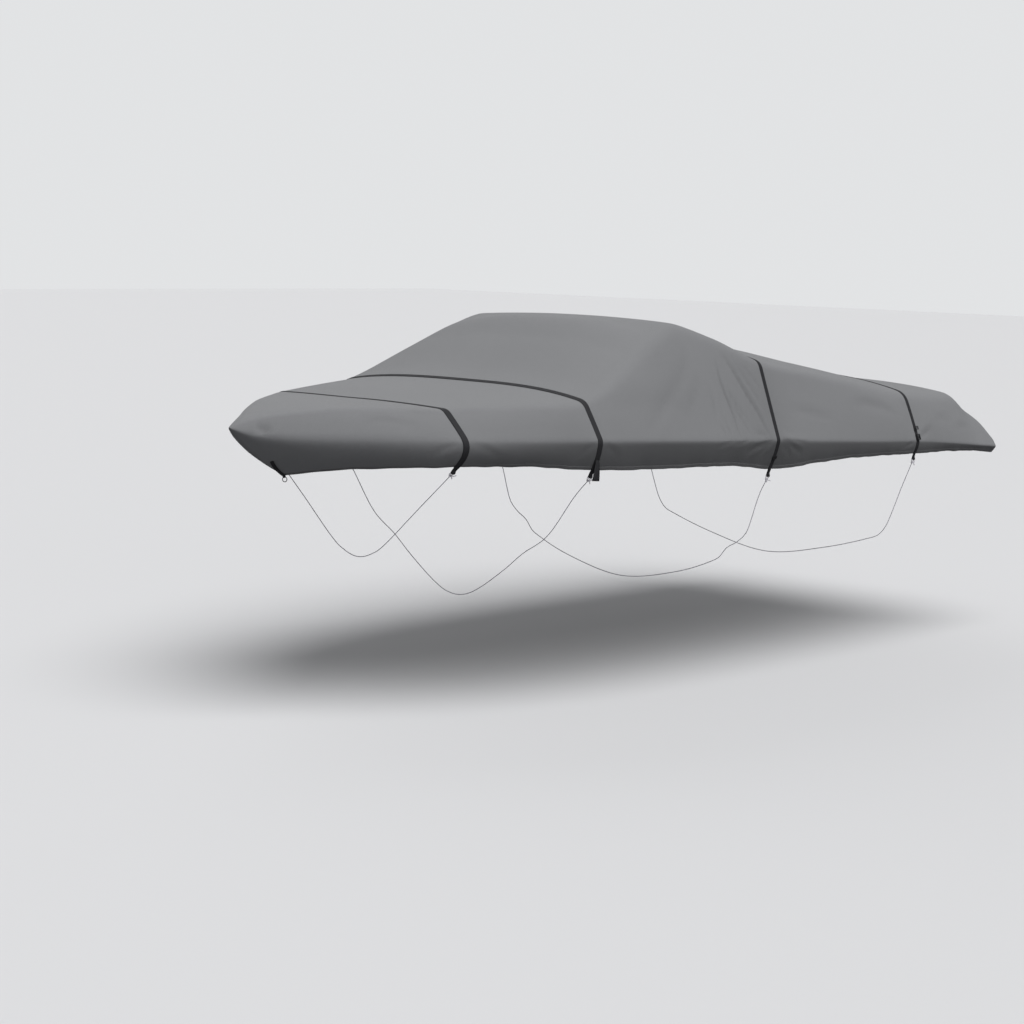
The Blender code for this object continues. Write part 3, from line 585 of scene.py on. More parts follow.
def add_piece(name, points, faces, metres=None, thickness=0.0, offset=0.0, weld=0.0):
    """A mesh object from table measures, carried by the part's one body."""
    mesh = bpy.data.meshes.new(name)
    mesh.from_pydata(to_frame(points).tolist(), [], faces)
    if metres is not None:
        layer = mesh.uv_layers.new(name="cloth_metres")
        corner = np.zeros(len(mesh.loops), int)
        mesh.loops.foreach_get("vertex_index", corner)
        layer.data.foreach_set("uv", np.asarray(metres, float)[corner].ravel())
    mesh.shade_smooth()
    piece = bpy.data.objects.new(name, mesh)
    bpy.context.scene.collection.objects.link(piece)
    if weld:
        piece.modifiers.new("weld", "WELD").merge_threshold = weld
    if thickness:
        solid = piece.modifiers.new("thickness", "SOLIDIFY")
        solid.thickness, solid.offset = thickness, offset
        solid.use_even_offset = False
    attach(piece, "root")
    return piece


def stand_for(piece, node):
    """Show the piece in place of one node of the solids."""
    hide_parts(node)
    return piece


def quads(rows, columns, round_columns=False, round_rows=False, start=0):
    """Faces of a grid of rows by columns of points. Either way can close on itself."""
    faces = []
    for i in range(rows if round_rows else rows - 1):
        for j in range(columns if round_columns else columns - 1):
            k, n = (j + 1) % columns, (i + 1) % rows
            corners = (i * columns + j, i * columns + k, n * columns + k, n * columns + j)
            faces.append(tuple(start + c for c in corners))
    return faces


def smooth_path(points, count):
    """Evenly spaced points on one smooth curve through the given ones."""
    points = [np.asarray(p, float) for p in points]
    ends = [2 * points[0] - points[1]] + points + [2 * points[-1] - points[-2]]
    fine = []
    for a, b, c, d in zip(ends, ends[1:], ends[2:], ends[3:]):
        for t in np.arange(CURVE_STEPS) / CURVE_STEPS:
            fine.append(0.5 * (2 * b + (c - a) * t + (2 * a - 5 * b + 4 * c - d) * t * t
                               + (3 * b - a - 3 * c + d) * t ** 3))
    fine.append(ends[-2])
    fine = np.array(fine)
    run = run_along(fine)
    return at_distance(fine, run, np.linspace(0, run[-1], count))


def round_cord(lines, radius, sides=10, closed=False, ends=True):
    """Points, faces and cloth metres of tubes along lines of points. Ends are domed."""
    points, faces, metres = [], [], []
    for line in lines:
        line = np.asarray(line, float)
        aim = np.roll(line, -1, 0) - np.roll(line, 1, 0) if closed else np.gradient(line, axis=0)
        aim /= np.linalg.norm(aim, axis=1, keepdims=True)
        centres, aims, radii = list(line), list(aim), [radius] * len(line)
        if ends and not closed:
            head = [line[0] - aim[0] * radius * 0.55, line[0] - aim[0] * radius * 0.2]
            tail = [line[-1] + aim[-1] * radius * 0.5, line[-1] + aim[-1] * radius * 0.9]
            centres = head + centres + tail
            aims = [aim[0]] * 2 + aims + [aim[-1]] * 2
            radii = [radius * 0.45, radius] + radii + [radius * 0.85, radius * 0.3]
        side = unit(np.cross(aim[0], (0.3, 0.2, 0.93)))
        run, start, count = 0.0, len(points), len(centres)
        for i, (c, a, r) in enumerate(zip(centres, aims, radii)):
            side = unit(side - a * (side @ a))
            other = np.cross(a, side)
            if i:
                run += np.linalg.norm(c - centres[i - 1])
            for j in range(sides):
                turn = 2 * math.pi * j / sides
                points.append(c + (side * math.cos(turn) + other * math.sin(turn)) * r)
                metres.append((radius * turn, run))
        faces += quads(count, sides, True, closed, start)
        if not closed:
            faces.append(tuple(start + j for j in range(sides))[::-1])
            faces.append(tuple(start + (count - 1) * sides + j for j in range(sides)))
    return np.array(points), faces, np.array(metres)


def rows_across(centres, across, halves):
    """Rows of five points across a line of centres."""
    spread = np.asarray(halves)[:, None] * np.linspace(-1, 1, 5)
    return np.asarray(centres)[:, None] + np.asarray(across)[:, None] * spread[..., None]


def ribbon(rows):
    """Points, faces and cloth metres of webbing from rows of five points."""
    middle = rows[:, 2]
    width = np.linalg.norm(rows - middle[:, None], axis=2) * np.array([-1, -1, 0, 1, 1])
    metres = np.stack([width, np.repeat(run_along(middle)[:, None], 5, 1)], -1)
    return rows.reshape(-1, 3), quads(len(rows), 5), metres.reshape(-1, 2)


print("helpers ready")

# %% [markdown]
# ## Straps, loops and tie cords: where they hang
# Each strap runs past the hem and is folded back into a loop. The loop's frame is worked
# out first: its centre, the way the strap runs down, outward, and across the strap. The
# knots and cords hang from these frames, so they always meet the loops. WEB is the
# webbing's thickness, WEB_GAP its clearance off the cloth, PLY the step between two layers
# of webbing and SEAT the clearance where two pieces rest on each other.

# %% Strap table and loop frames
WEB, WEB_GAP, PLY, SEAT = 0.0016, 0.0005, 0.0022, 0.0003
LOOP_WIDTH, FOLD_RADIUS, EYE_LENGTH, SPARE_TURN = 0.020, 0.0056, 0.018, 0.0026
Strap = namedtuple("Strap", "name x width loop_y loop_z seam spare")
STRAPS = [
    Strap("strap_1", 0.836, 0.027, 0.654, 1.160, 0.044, 0.0),
    Strap("strap_2", 1.537, 0.028, 0.906, 1.118, 0.092, 0.098),
    Strap("strap_3", 2.863, 0.026, 0.998, 1.048, 0.046, 0.0),
    Strap("strap_4", 4.222, 0.026, 1.018, 1.062, 0.042, 0.0),
]
SIDES = ((-1, "port"), (1, "starboard"))
LoopFrame = namedtuple("LoopFrame", "centre down out across hem start")


def under_point(x, share, side):
    """A point of the plain sheet below the rail line: share 0 is the rail, 1 the hem."""
    rake = STEM_RAKE * max(0.0, 1 - x / RAKE_END) ** 2
    rail_y, rail_z = float(SEAM["rail_y"](x)), float(SEAM["rail_z"](x))
    bulge = float(SEAM["under"](x)) * 4 * share * (1 - share)
    y = rail_y + (float(HEM_Y(x + rake)) - rail_y) * share + bulge
    z = rail_z + (float(HEM_Z(x + rake)) - rail_z) * share
    return np.array((below_rail(x, rake, share), side * y, z))


def loop_frame(strap, side):
    """Centre of the end fold, the way down, out and across, the hem and the fold's start."""
    edges = [[under_point(strap.x + e * strap.width / 2, s, side) for e in (-1, 1)]
             for s in (1, 2 / 3)]
    rise = (edges[1][0] + edges[1][1]) / 2 - (edges[0][0] + edges[0][1]) / 2
    lift = unit(np.cross(edges[0][1] - edges[0][0], rise)) * -side
    hem = (edges[0][0] + edges[0][1]) / 2 + lift * (WEB_GAP + WEB / 2)
    across = unit(edges[0][1] - edges[0][0])
    low = np.array((strap.x, side * strap.loop_y, strap.loop_z))
    start = low - unit(low - hem) * FOLD_RADIUS
    down = unit(start - hem)
    out = unit(np.cross(across, down)) * side
    return LoopFrame(start + out * FOLD_RADIUS, down, out, across, hem, start)


FRAMES = {(s.name, side): loop_frame(s, side) for s in STRAPS for side, _ in SIDES}
for (name, side), made in FRAMES.items():
    print("loop", name, side, "centre", np.round(to_frame(made.centre), 4))

# %% [markdown]
# Below each loop the cord is tied: it goes up through the loop, comes back down, wraps
# round itself and leaves two short free ends. A knot looks right only when its strands
# really cross, so it is drawn as strands and not as a ball. Places in a knot are measured
# across the strap, down from the loop's centre, and outward.

# %% Knots
CORD_RADIUS, KNOT_REACH, KNOT_HALF = 0.0021, 0.0215, 0.0066
TAIL_ENDS = {
    "strap_1": [(0.021, -0.012, 0.008), (0.017, 0.018, 0.006)],
    "strap_2": [(0.017, 0.016, 0.007), (0.010, -0.014, 0.010)],
    "strap_3": [(0.030, 0.006, 0.008), (-0.006, 0.012, 0.010)],
    "strap_4": [(0.020, 0.014, 0.008), (0.004, -0.014, 0.011)],
}


def knot_strands(strap, side):
    """Lines of the turn through the loop, the wraps and the two free ends."""
    frame_here = FRAMES[strap.name, side]
    inside = FOLD_RADIUS * 0.96 - WEB / 2 - CORD_RADIUS - 2 * SEAT
    clear = LOOP_WIDTH / 2 + CORD_RADIUS + 0.0006

    def at(across, down, out=0.0):
        return (frame_here.centre + frame_here.across * across + frame_here.down * down
                + frame_here.out * out)

    legs = [(0.0030, KNOT_REACH), (0.0052, KNOT_REACH - 0.005), (clear * 0.95, 0.0095),
            (clear + 0.001, inside + 0.0016), (LOOP_WIDTH / 2, inside)]
    turn = [at(-a, b) for a, b in legs] + [at(0, inside)] + [at(a, b) for a, b in legs[::-1]]
    wraps = []
    for i in range(23):
        a = 2 * math.pi * i / 22 * 1.75 + 0.6
        wraps.append(at(0.0056 * math.cos(a), KNOT_REACH + 0.0036 * (i / 11 - 1),
                        0.0047 * math.sin(a)))
    cross = []
    for i in range(15):
        a = 2 * math.pi * i / 14 * 0.9 + 2.2
        cross.append(at(0.0050 * math.cos(a) + 0.001, KNOT_REACH + 0.0046 * math.sin(a),
                        0.0030 * math.sin(a * 1.5 + 0.4)))
    lines = [smooth_path(turn, 44), smooth_path(wraps, 40), smooth_path(cross, 26)]
    middle = at(0, KNOT_REACH)
    for a, b, c in TAIL_ENDS[strap.name]:
        bend = at(a * 0.55, KNOT_REACH + b * 0.35, c * 0.9)
        tip = at(a, KNOT_REACH + b, c)
        lines.append(smooth_path([middle + (bend - middle) * 0.15, bend, tip], 14))
    return lines


knots = {}
for strap in STRAPS:
    for side, word in SIDES:
        name = f"knot_{strap.name[-1]}_{word}"
        made = round_cord(knot_strands(strap, side), CORD_RADIUS * 0.98)
        knots[name] = stand_for(add_piece(f"tied_{name}", *made), name)
print("knots:", len(knots))

# %% [markdown]
# A tie cord runs from knot to knot underneath. What the cover goes over holds it taut, so
# it follows that shape in a few straight pulls with soft bends. Each is a round braided
# cord 4.2 mm thick, and its real length is measured and printed. The routes are (y, z)
# from the knot to the middle, and the other half mirrors them.

# %% Tie cords
CORD_RINGS = 97
CORD_ROUTES = {
    "strap_1": [(0.423, 0.958), (0.194, 0.762), (0.090, 0.702), (0.000, 0.682)],
    "strap_2": [(0.811, 1.009), (0.640, 0.798), (0.474, 0.690), (0.330, 0.580),
                (0.136, 0.456), (0.000, 0.420)],
    "strap_3": [(0.947, 0.930), (0.869, 0.722), (0.750, 0.638), (0.677, 0.566),
                (0.400, 0.462), (0.000, 0.392)],
    "strap_4": [(0.953, 0.890), (0.861, 0.664), (0.790, 0.592), (0.420, 0.482),
                (0.000, 0.412)],
}
cords = {}
for strap in STRAPS:
    start, end = (FRAMES[strap.name, side].centre
                  + FRAMES[strap.name, side].down * (KNOT_REACH + KNOT_HALF + SEAT)
                  for side, _ in SIDES)
    route = CORD_ROUTES[strap.name]
    route = [(strap.x, -y, z) for y, z in route] + [(strap.x, y, z) for y, z in route[-2::-1]]
    line = smooth_path([start, *route, end], 33)
    fine = smooth_path(line, CORD_RINGS)
    length = float(np.linalg.norm(np.diff(fine, axis=0), axis=1).sum())
    name = f"cord_{strap.name[-1]}"
    made = round_cord([fine], CORD_RADIUS, sides=12, ends=False)
    cords[name] = stand_for(add_piece(f"tie_{name}", *made), name)
    tuple(to_frame(line[0]))
    [tuple(p) for p in to_frame(fine)]
    print(name, "length", round(length, 3), "m")

# %% [markdown]
# ## The sheet
# The cover's cloth is one grid of quads with a little thickness. The last rows fold down
# over the square end into a narrow flap. One value on its points is painted shade for the
# material: low below the rail line, a little lower on the side panels, and lower still
# inside a crease, where the light leaves the cloth in shade; 1 elsewhere.

# %% Sheet of cloth
FLAP_ROWS = 6
CLOTH_SHELL, CLOTH_WELD = 0.0011, 0.0002
# Painted shade: the cloth is painted darker below the rail line and on the side panels, by x, and
# inside creases.
SHADE_STARTS, SHADE_SPREAD, CREASE_SHADE = 0.84, 0.20, 0.55
UNDER_RAIL_SHADE = track([0, 0.6, 1.2, 2.2, 3.2, 5.13], [1.0, 0.82, 0.60, 0.48, 0.52, 0.58])
SIDE_PANEL_SHADE = track([0, 0.5, 1.2, 1.6, 2.3, 2.8, 3.1, 3.8, 5.13],
                 [1.0, 0.94, 0.87, 0.89, 0.89, 0.89, 1.0, 0.97, 1.0])


def add_flap(points, lift):
    """The sheet with its narrow flap over the square end, below the last section."""
    last = points[-1]
    foot = np.stack([np.full(len(last), FLAP_X), np.clip(last[:, 1], -FLAP_HALF, FLAP_HALF),
                     np.full(len(last), FLAP_Z)], 1)
    made = []
    for i in range(1, FLAP_ROWS + 1):
        row = last + (foot - last) * (i / FLAP_ROWS)
        swell = math.sin(math.pi * i / FLAP_ROWS)
        row[:, 0] += 0.004 * swell + 0.0012 * swell * np.sin(17 * last[:, 1] + 1)
        made.append(row)
    lifts = np.concatenate([lift, np.repeat(lift[-1:], FLAP_ROWS, 0)])
    return np.concatenate([points, np.array(made)]), lifts


def painted_shade_factor(lift, x, crease_shade):
    """The stored value, painted shade: 1 in full colour, less where the light leaves the cloth in
    shade.
    """
    turned = np.clip((lift - SHADE_STARTS) / SHADE_SPREAD, 0, 1)
    turned = turned * turned * (3 - 2 * turned)
    side = 1 - (1 - SIDE_PANEL_SHADE(x)) * np.clip(2.4 - lift, 0, 1)
    faded = UNDER_RAIL_SHADE(x) + (side - UNDER_RAIL_SHADE(x)) * turned
    return np.clip(faded * (1 - CREASE_SHADE * crease_shade), 0, 1)


cover_points, cover_lift = add_flap(sheet_points, sheet_lift)
rows, columns = cover_points.shape[:2]
along = run_along(cover_points[:, columns // 2])
steps = np.linalg.norm(np.diff(cover_points, axis=1), axis=2)
over = np.concatenate([np.zeros((rows, 1)), np.cumsum(steps, axis=1)], 1)
over -= over[:, columns // 2][:, None]
metres = np.stack([over, np.repeat(along[:, None], columns, 1)], -1).reshape(-1, 2)

cover = add_piece("sheet", cover_points.reshape(-1, 3), quads(rows, columns), metres,
                  CLOTH_SHELL, 1.0, CLOTH_WELD)
length_on = np.append(stations, np.full(FLAP_ROWS, stations[-1]))[:, None]
crease_shade = np.concatenate([sheet_crease_shade, np.zeros((FLAP_ROWS, columns))])
# The stored value is the painted shade, which the cloth material reads.
value = cover.data.attributes.new("sun_faded", "FLOAT", "POINT")
value.data.foreach_set("value", painted_shade_factor(cover_lift, length_on, crease_shade).ravel())
stand_for(cover, "cover")
print("sheet:", rows, "x", columns, "points")

# %% [markdown]
# ## Straps
# Black ribbed webbing lies flat on the sheet, follows every fold, and turns into its end
# loop under the hem. One strip of points runs the whole way, so the ribs run on through
# the fold. It takes more rows where the sheet turns a corner, so it never cuts the corner.
# The second strap also has its spare ends, which hang free beside the loops and flare out.

# %% Strap strips
STRAP_LIFTS = np.concatenate([clustered(0, 1, 24), clustered(1, 2, 40), np.linspace(2, 3, 29)])
STITCH_INSET = 0.0025


def on_sheet(x, width, columns, lifts, height):
    """Rows of points across the sheet at x, one per lift, raised off the cloth."""
    places = x + width / 2 * np.linspace(-1, 1, columns)
    points, normals = draped(places, lifts)[:2]
    return np.transpose(points + normals * height, (1, 0, 2)), np.transpose(normals, (1, 0, 2))


def spare_end(top, level, across, length):
    """Centres and half widths of the end that turns over the seam and hangs down."""
    centres, halves = [], []
    for i in range(1, 8):
        turn = math.pi * i / 7
        centres.append(top + level * SPARE_TURN * (1 - math.cos(turn))
                       + np.array((0, 0, SPARE_TURN * math.sin(turn))))
        halves.append(LOOP_WIDTH / 2)
    hung = centres[-1]
    for i in range(1, 9):
        sway = 0.004 * math.sin(math.pi * 0.8 * i / 8)
        flare = 0.012 * (i / 8) ** 0.8
        centres.append(hung + level * sway + across * (0.002 - flare)
                       - np.array((0, 0, length * i / 8)))
        halves.append(LOOP_WIDTH / 2 + flare)
    return centres, halves


def end_loop(strap, side):
    """Centres and half widths from the hem round the loop, and where it is sewn down."""
    centre, down, out, across, hem, start = FRAMES[strap.name, side]
    centres, halves, sewn = [], [], []
    for t in (0.2, 0.4, 0.6, 0.8):
        n = t ** 1.6
        centres.append(hem + (start - hem) * t)
        halves.append((strap.width + (LOOP_WIDTH - strap.width) * (3 * n * n - 2 * n ** 3)) / 2)
    for turn in math.pi * np.arange(13) / 12:
        centres.append(centre + (down * math.sin(turn) - out * math.cos(turn)) * FOLD_RADIUS)
        halves.append(LOOP_WIDTH / 2)
    base, normals = on_sheet(strap.x, 0.004, 3, np.linspace(0, 1.2, 61), WEB_GAP + WEB / 2)
    if side > 0:
        base, normals = base[::-1], normals[::-1]
    up_line = np.concatenate([[start], base[:61, 1]])
    off = np.concatenate([[out], normals[:61, 1]])
    run = run_along(up_line)
    for distance in np.linspace(EYE_LENGTH * 0.2, strap.seam, 12):
        lift = unit(at_distance(off, run, distance))
        closing = min(1.0, distance / EYE_LENGTH)
        reach = (2 * FOLD_RADIUS
                 + (PLY - 2 * FOLD_RADIUS) * closing * closing * (3 - 2 * closing))
        centres.append(at_distance(up_line, run, distance) + lift * reach)
        halves.append(LOOP_WIDTH / 2)
        if distance > EYE_LENGTH:
            sewn.append((centres[-1] + lift * (WEB / 2 + 0.0001), lift))
    if strap.spare:
        level = unit((out[0], out[1], 0.0))
        more, wider = spare_end(centres[-1], level, across, strap.spare)
        centres, halves = centres + more, halves + wider
    return np.array(centres), np.repeat(across[None], len(centres), 0), halves, sewn


def box_stitch(line, across, half):
    """Seams of a sewn box on webbing: both long sides, both ends and one diagonal."""
    places = np.array([p for p, _ in line])
    ups = np.array([n for _, n in line])
    left, right = places - across * half, places + across * half
    seams = [(left, ups), (right, ups)]
    for end in (0, -1):
        seams.append((np.array([left[end], right[end]]), ups[[end, end]]))
    share = np.linspace(0, 1, len(line))[:, None]
    seams.append((left * (1 - share) + right * share, ups))
    return seams


straps, box_seams = {}, []
for strap in STRAPS:
    parts = [on_sheet(strap.x, strap.width, 5, STRAP_LIFTS, WEB_GAP + WEB / 2)[0]]
    for side, _ in SIDES:
        centres, across, halves, sewn = end_loop(strap, side)
        box_seams += box_stitch(sewn, across[0], LOOP_WIDTH / 2 - STITCH_INSET)
        ends = rows_across(centres, across, halves)
        parts = [ends[::-1]] + parts if side < 0 else parts + [ends]
    piece = add_piece(f"webbing_{strap.name}", *ribbon(np.concatenate(parts)), WEB)
    straps[strap.name] = stand_for(piece, strap.name)
print("straps:", len(straps))

# %% [markdown]
# ## Adjusters
# The two aft straps carry slim plastic slides, and the last one also a small buckle. The
# webbing goes in under one bar and out over the next, so each is a frame with bars and
# slots rather than a block. Its place comes from the solids, and it is turned to lie flat
# on the cloth there.

# %% Slides and buckles
Adjuster = namedtuple("Adjuster", "name strap length thick bars")
ADJUSTERS = [
    Adjuster("slide_3", "strap_3", 0.020, 0.0045, 3),
    Adjuster("slide_4", "strap_4", 0.020, 0.0045, 3),
    Adjuster("buckle_4", "strap_4", 0.034, 0.0085, 4),
]
RAIL_WIDTH, BAR_WIDTH, ARC_STEPS = 0.0042, 0.0040, 3


def rounded_bar(centre, along, other, out, length, width, thick):
    """A bar with rounded long edges: points and faces."""
    ring = []
    r = min(width, thick) * 0.32
    for cx, cz, start in ((1, 1, 0), (-1, 1, 1), (-1, -1, 2), (1, -1, 3)):
        for i in range(ARC_STEPS + 1):
            a = math.pi / 2 * (start + i / ARC_STEPS)
            ring.append((cx * (width / 2 - r) + r * math.cos(a),
                         cz * (thick / 2 - r) + r * math.sin(a)))
    stops = [(-length / 2, 0.82), (-length / 2 + r * 0.5, 1.0),
             (length / 2 - r * 0.5, 1.0), (length / 2, 0.82)]
    points, n = [], len(ring)
    for place, scale in stops:
        points += [centre + along * place + other * a * scale + out * b * scale
                   for a, b in ring]
    caps = [tuple(range(n))[::-1], tuple(range((len(stops) - 1) * n, len(stops) * n))]
    return points, quads(len(stops), n, True) + caps


def adjuster_shape(item, name, side):
    """Points and faces of the two rails and the bars between them."""
    strap = next(s for s in STRAPS if s.name == item.strap)
    low, high = (np.array(v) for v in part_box(name))
    centre = (low + high) / 2 + CROWN
    base = on_sheet(strap.x, strap.width, 3, np.linspace(0.05, 1.95, 120), 0.0)[0]
    base = base if side < 0 else base[::-1]
    near = int(np.argmin(abs(base[:120, 1, 2] - centre[2])))
    run = unit(base[min(near + 3, 119), 1] - base[near - 3, 1])
    across = unit(base[near, 2] - base[near, 0])
    out = unit(np.cross(across, run)) * -side
    run = unit(np.cross(out, across)) * -side
    run = run if run[2] > 0 else -run
    wide = strap.width + 0.007
    bars = []
    for s in (-1, 1):
        bars.append(rounded_bar(centre + across * s * (wide - RAIL_WIDTH) / 2, run, across, out,
                                item.length, RAIL_WIDTH, item.thick))
    for i in range(item.bars):
        place = (i / (item.bars - 1) - 0.5) * (item.length - BAR_WIDTH)
        thick = item.thick if i in (0, item.bars - 1) else item.thick * 0.7
        bars.append(rounded_bar(centre + run * place, across, run, out,
                                wide - 0.003, BAR_WIDTH, thick))
    points, faces = [], []
    for bar_points, bar_faces in bars:
        faces += [tuple(len(points) + i for i in face) for face in bar_faces]
        points += bar_points
    return np.array(points), faces


adjusters = {}
for item in ADJUSTERS:
    for side, word in SIDES:
        name = f"{item.name}_{word}"
        piece = add_piece(f"moulded_{name}", *adjuster_shape(item, name, side))
        adjusters[name] = stand_for(piece, name)
print("adjusters:", len(adjusters))

# %% [markdown]
# ## Bow tab and ring
# A short piece of webbing is sewn on the bow end and folded through a small plastic ring,
# which takes a line that draws the cover forward. The tab lies flat from its upper end
# down to the stem's foot, narrows to the ring's fold, and comes back up over itself. The
# ring hangs plumb in that fold.

# %% Bow tab and ring
TAB_WIDTH, TAB_NECK, TAB_FOLD, TAB_GAP, TAB_DROP = 0.018, 0.010, 0.0048, 0.0008, 0.004
TAB_TOP, TAB_FOOT = (0.060, 0.66), (0.006, 1.00)
RING_RADIUS, RING_WIRE = 0.0122, 0.0019
line = []
for t in np.arange(9) / 8:
    x, share = (a + (b - a) * t for a, b in zip(TAB_TOP, TAB_FOOT))
    place = under_point(x, share, -1)
    down = under_point(x, share + 0.01, -1) - place
    off = unit(np.cross(down, under_point(x + 0.005, share, -1) - place))
    off = off if off[0] < 0 else -off
    line.append((place + off * (TAB_GAP + WEB / 2), off))
along = unit(line[-1][0] - line[-2][0])
tab_side = unit(np.cross(line[-1][1], along))
off = np.cross(along, tab_side)
low = line[-1][0] + along * TAB_DROP
fold = low + off * TAB_FOLD
path = [(p, TAB_WIDTH) for p, _ in line] + [((line[-1][0] + low) / 2, 0.014), (low, TAB_NECK)]
for turn in math.pi * np.arange(1, 12) / 11:
    path.append((fold + (along * math.sin(turn) - off * math.cos(turn)) * TAB_FOLD, TAB_NECK))
path.append((line[-1][0] + line[-1][1] * (PLY + 0.001), 0.015))
path += [(p + o * (PLY + 0.0002 * i), TAB_WIDTH) for i, (p, o) in enumerate(line[-2::-1])]
tab_rows = rows_across([p for p, _ in path], [tab_side] * len(path), [w / 2 for _, w in path])
tab = stand_for(add_piece("tab_bow", *ribbon(tab_rows), WEB), "bow_tab")

dip = RING_RADIUS - math.sqrt(RING_RADIUS ** 2 - (TAB_NECK / 2) ** 2)
wire = fold + along * (TAB_FOLD - WEB / 2 - 2 * SEAT - RING_WIRE - dip)
drop = np.array((0, 0, -1.0))
drop = unit(drop - tab_side * (drop @ tab_side))
circle = [wire + (drop + tab_side * math.sin(a) - drop * math.cos(a)) * RING_RADIUS
          for a in np.arange(48) * 2 * math.pi / 48]
ring = add_piece("ring_bow", *round_cord([circle], RING_WIRE, sides=14, closed=True))
stand_for(ring, "bow_ring")
print("ring middle", np.round(to_frame(wire + drop * RING_RADIUS), 4))

# %% [markdown]
# ## Hem
# A maker folds the raw edge of the cloth over and stitches it down, so the edge is three
# layers thick and rounded. Here a narrow shell is wrapped round the sheet's edge, from
# the inside round to the outside, all the way along both sides and the square end. The
# straps press it flat where they cross it.

# %% Where the hem runs
EDGE_POINTS, FLAP_POINTS, TURN_IN = 12, 14, 36
HEM_OUTER = 0.0012
sheet_rows = len(stations)
cover_normals = normals_of(cover_points)
edge_lines = [(cover_points[i, :EDGE_POINTS], cover_normals[i, :EDGE_POINTS])
              for i in range(sheet_rows)]
edge_lines += [(cover_points[::-1, j][:FLAP_POINTS], cover_normals[::-1, j][:FLAP_POINTS])
               for j in range(TURN_IN, columns - TURN_IN)]
edge_lines += [(cover_points[i, ::-1][:EDGE_POINTS], cover_normals[i, ::-1][:EDGE_POINTS])
               for i in range(sheet_rows - 1, -1, -1)]


def above_edge(line, distance, height):
    """The place this far in from the sheet's edge, raised off the cloth."""
    points, normals = line
    if distance <= 0:
        down = unit(points[0] - points[3])
        return points[0] - down * distance + normals[1] * height
    run = run_along(points)
    return (at_distance(points, run, distance)
            + unit(at_distance(normals, run, distance)) * height)


def pressed(line):
    """The share of the hem's height that is left under a strap, which presses it flat."""
    gap = min(abs(line[0][0][0] - s.x) - s.width / 2 for s in STRAPS)
    return 0.25 + 0.75 * min(1.0, max(0.0, (gap - 0.004) / 0.012))


HEM_PROFILE = [
    (0.0190, -0.0012), (0.0180, -0.0022), (0.0080, -0.0024), (0.0006, -0.0023),
    (-0.0008, -0.0014), (-0.0011, -0.0004), (-0.0007, 0.0006), (0.0006, 0.0011),
    (0.0080, HEM_OUTER), (0.0168, 0.0011), (0.0186, 0.0009), (0.0192, -0.0002)]
hem_points = np.array([[above_edge(line, d, h * pressed(line) if h > 0 else h)
                        for d, h in HEM_PROFILE] for line in edge_lines])
hem_run = run_along(hem_points[:, 4])
hem_metres = np.stack([np.repeat(np.array([[d for d, _ in HEM_PROFILE]]), len(hem_points), 0),
                       np.repeat(hem_run[:, None], len(HEM_PROFILE), 1)], -1).reshape(-1, 2)
hem = add_piece("hem_fold", hem_points.reshape(-1, 3), quads(*hem_points.shape[:2]), hem_metres)
print("hem:", round(hem_run[-1], 2), "m along", len(edge_lines), "places")

# %% [markdown]
# ## Stitching
# Thread lies on cloth as short raised dashes, each sinking into its needle hole at both
# ends. One stitch has only eight corners, and smooth shading makes it look round, so a
# whole seam can be one light mesh.

# %% Stitches
STITCH_FACES = ((0, 2, 1), (0, 3, 2), (1, 2, 5, 4), (2, 3, 6, 5), (7, 4, 5), (7, 5, 6))


def stitch_rows(name, seams, pitch=0.0052, length=0.0036, width=0.0009, height=0.0006):
    """One mesh of stitches along seams. A seam is (points, outward normals)."""
    corners, faces, first = [], [], 0
    for points, normals in seams:
        points, normals = np.asarray(points, float), np.asarray(normals, float)
        run = run_along(points)
        count = int(run[-1] / pitch)
        if count < 1:
            continue
        middles = (np.arange(count) + 0.5) * run[-1] / count
        ends = [at_distance(points, run, middles + shift * length)
                for shift in (-0.5, -0.22, 0.22, 0.5)]
        up = at_distance(normals, run, middles)
        up /= np.linalg.norm(up, axis=1, keepdims=True)
        aim = ends[3] - ends[0]
        aim /= np.maximum(np.linalg.norm(aim, axis=1, keepdims=True), 1e-9)
        side = np.cross(up, aim)
        block = [ends[0] - up * 0.0002]
        for end in ends[1:3]:
            foot = end - up * 0.0001
            block += [foot - side * width / 2, end + up * height, foot + side * width / 2]
        block.append(ends[3] - up * 0.0002)
        corners.append(np.stack(block, 1).reshape(-1, 3))
        faces += [tuple(first + 8 * i + k for k in face)
                  for i in range(count) for face in STITCH_FACES]
        first += 8 * count
    piece = add_piece(name, np.concatenate(corners), faces)
    print(name, first // 8, "stitches")
    return piece


hem_seams = []
for distance in (0.0135, 0.0165):
    places = np.array([above_edge(line, distance, HEM_OUTER * pressed(line))
                       for line in edge_lines])
    hem_seams.append((places, np.array([line[1][3] for line in edge_lines])))
for part in (slice(0, 14), slice(-1, -15, -1)):
    raised = cover_points[1, part] + cover_normals[2, part] * 0.0002
    hem_seams.append((raised, cover_normals[2, part]))
hem_thread = stitch_rows("hem_thread", hem_seams)

strap_seams = []
for strap in STRAPS:
    rows_on, ups = on_sheet(strap.x, strap.width, 5, STRAP_LIFTS, WEB_GAP + WEB + 0.0001)
    share = min(1.0, 0.0028 / (strap.width / 2) * 2)
    for edge, inner in ((0, 1), (4, 3)):
        strap_seams.append((rows_on[:, edge] * (1 - share) + rows_on[:, inner] * share,
                            ups[:, edge]))
strap_thread = stitch_rows("strap_thread", strap_seams, 0.0060, 0.0042)
tab_line = [(p + o * (PLY + 0.0002 * i + WEB / 2), o) for i, (p, o) in enumerate(line[-2::-1])]
box_seams += box_stitch(tab_line, tab_side, TAB_WIDTH / 2 - STITCH_INSET)
box_thread = stitch_rows("box_thread", box_seams, 0.0034, 0.0026, 0.0008, 0.0005)

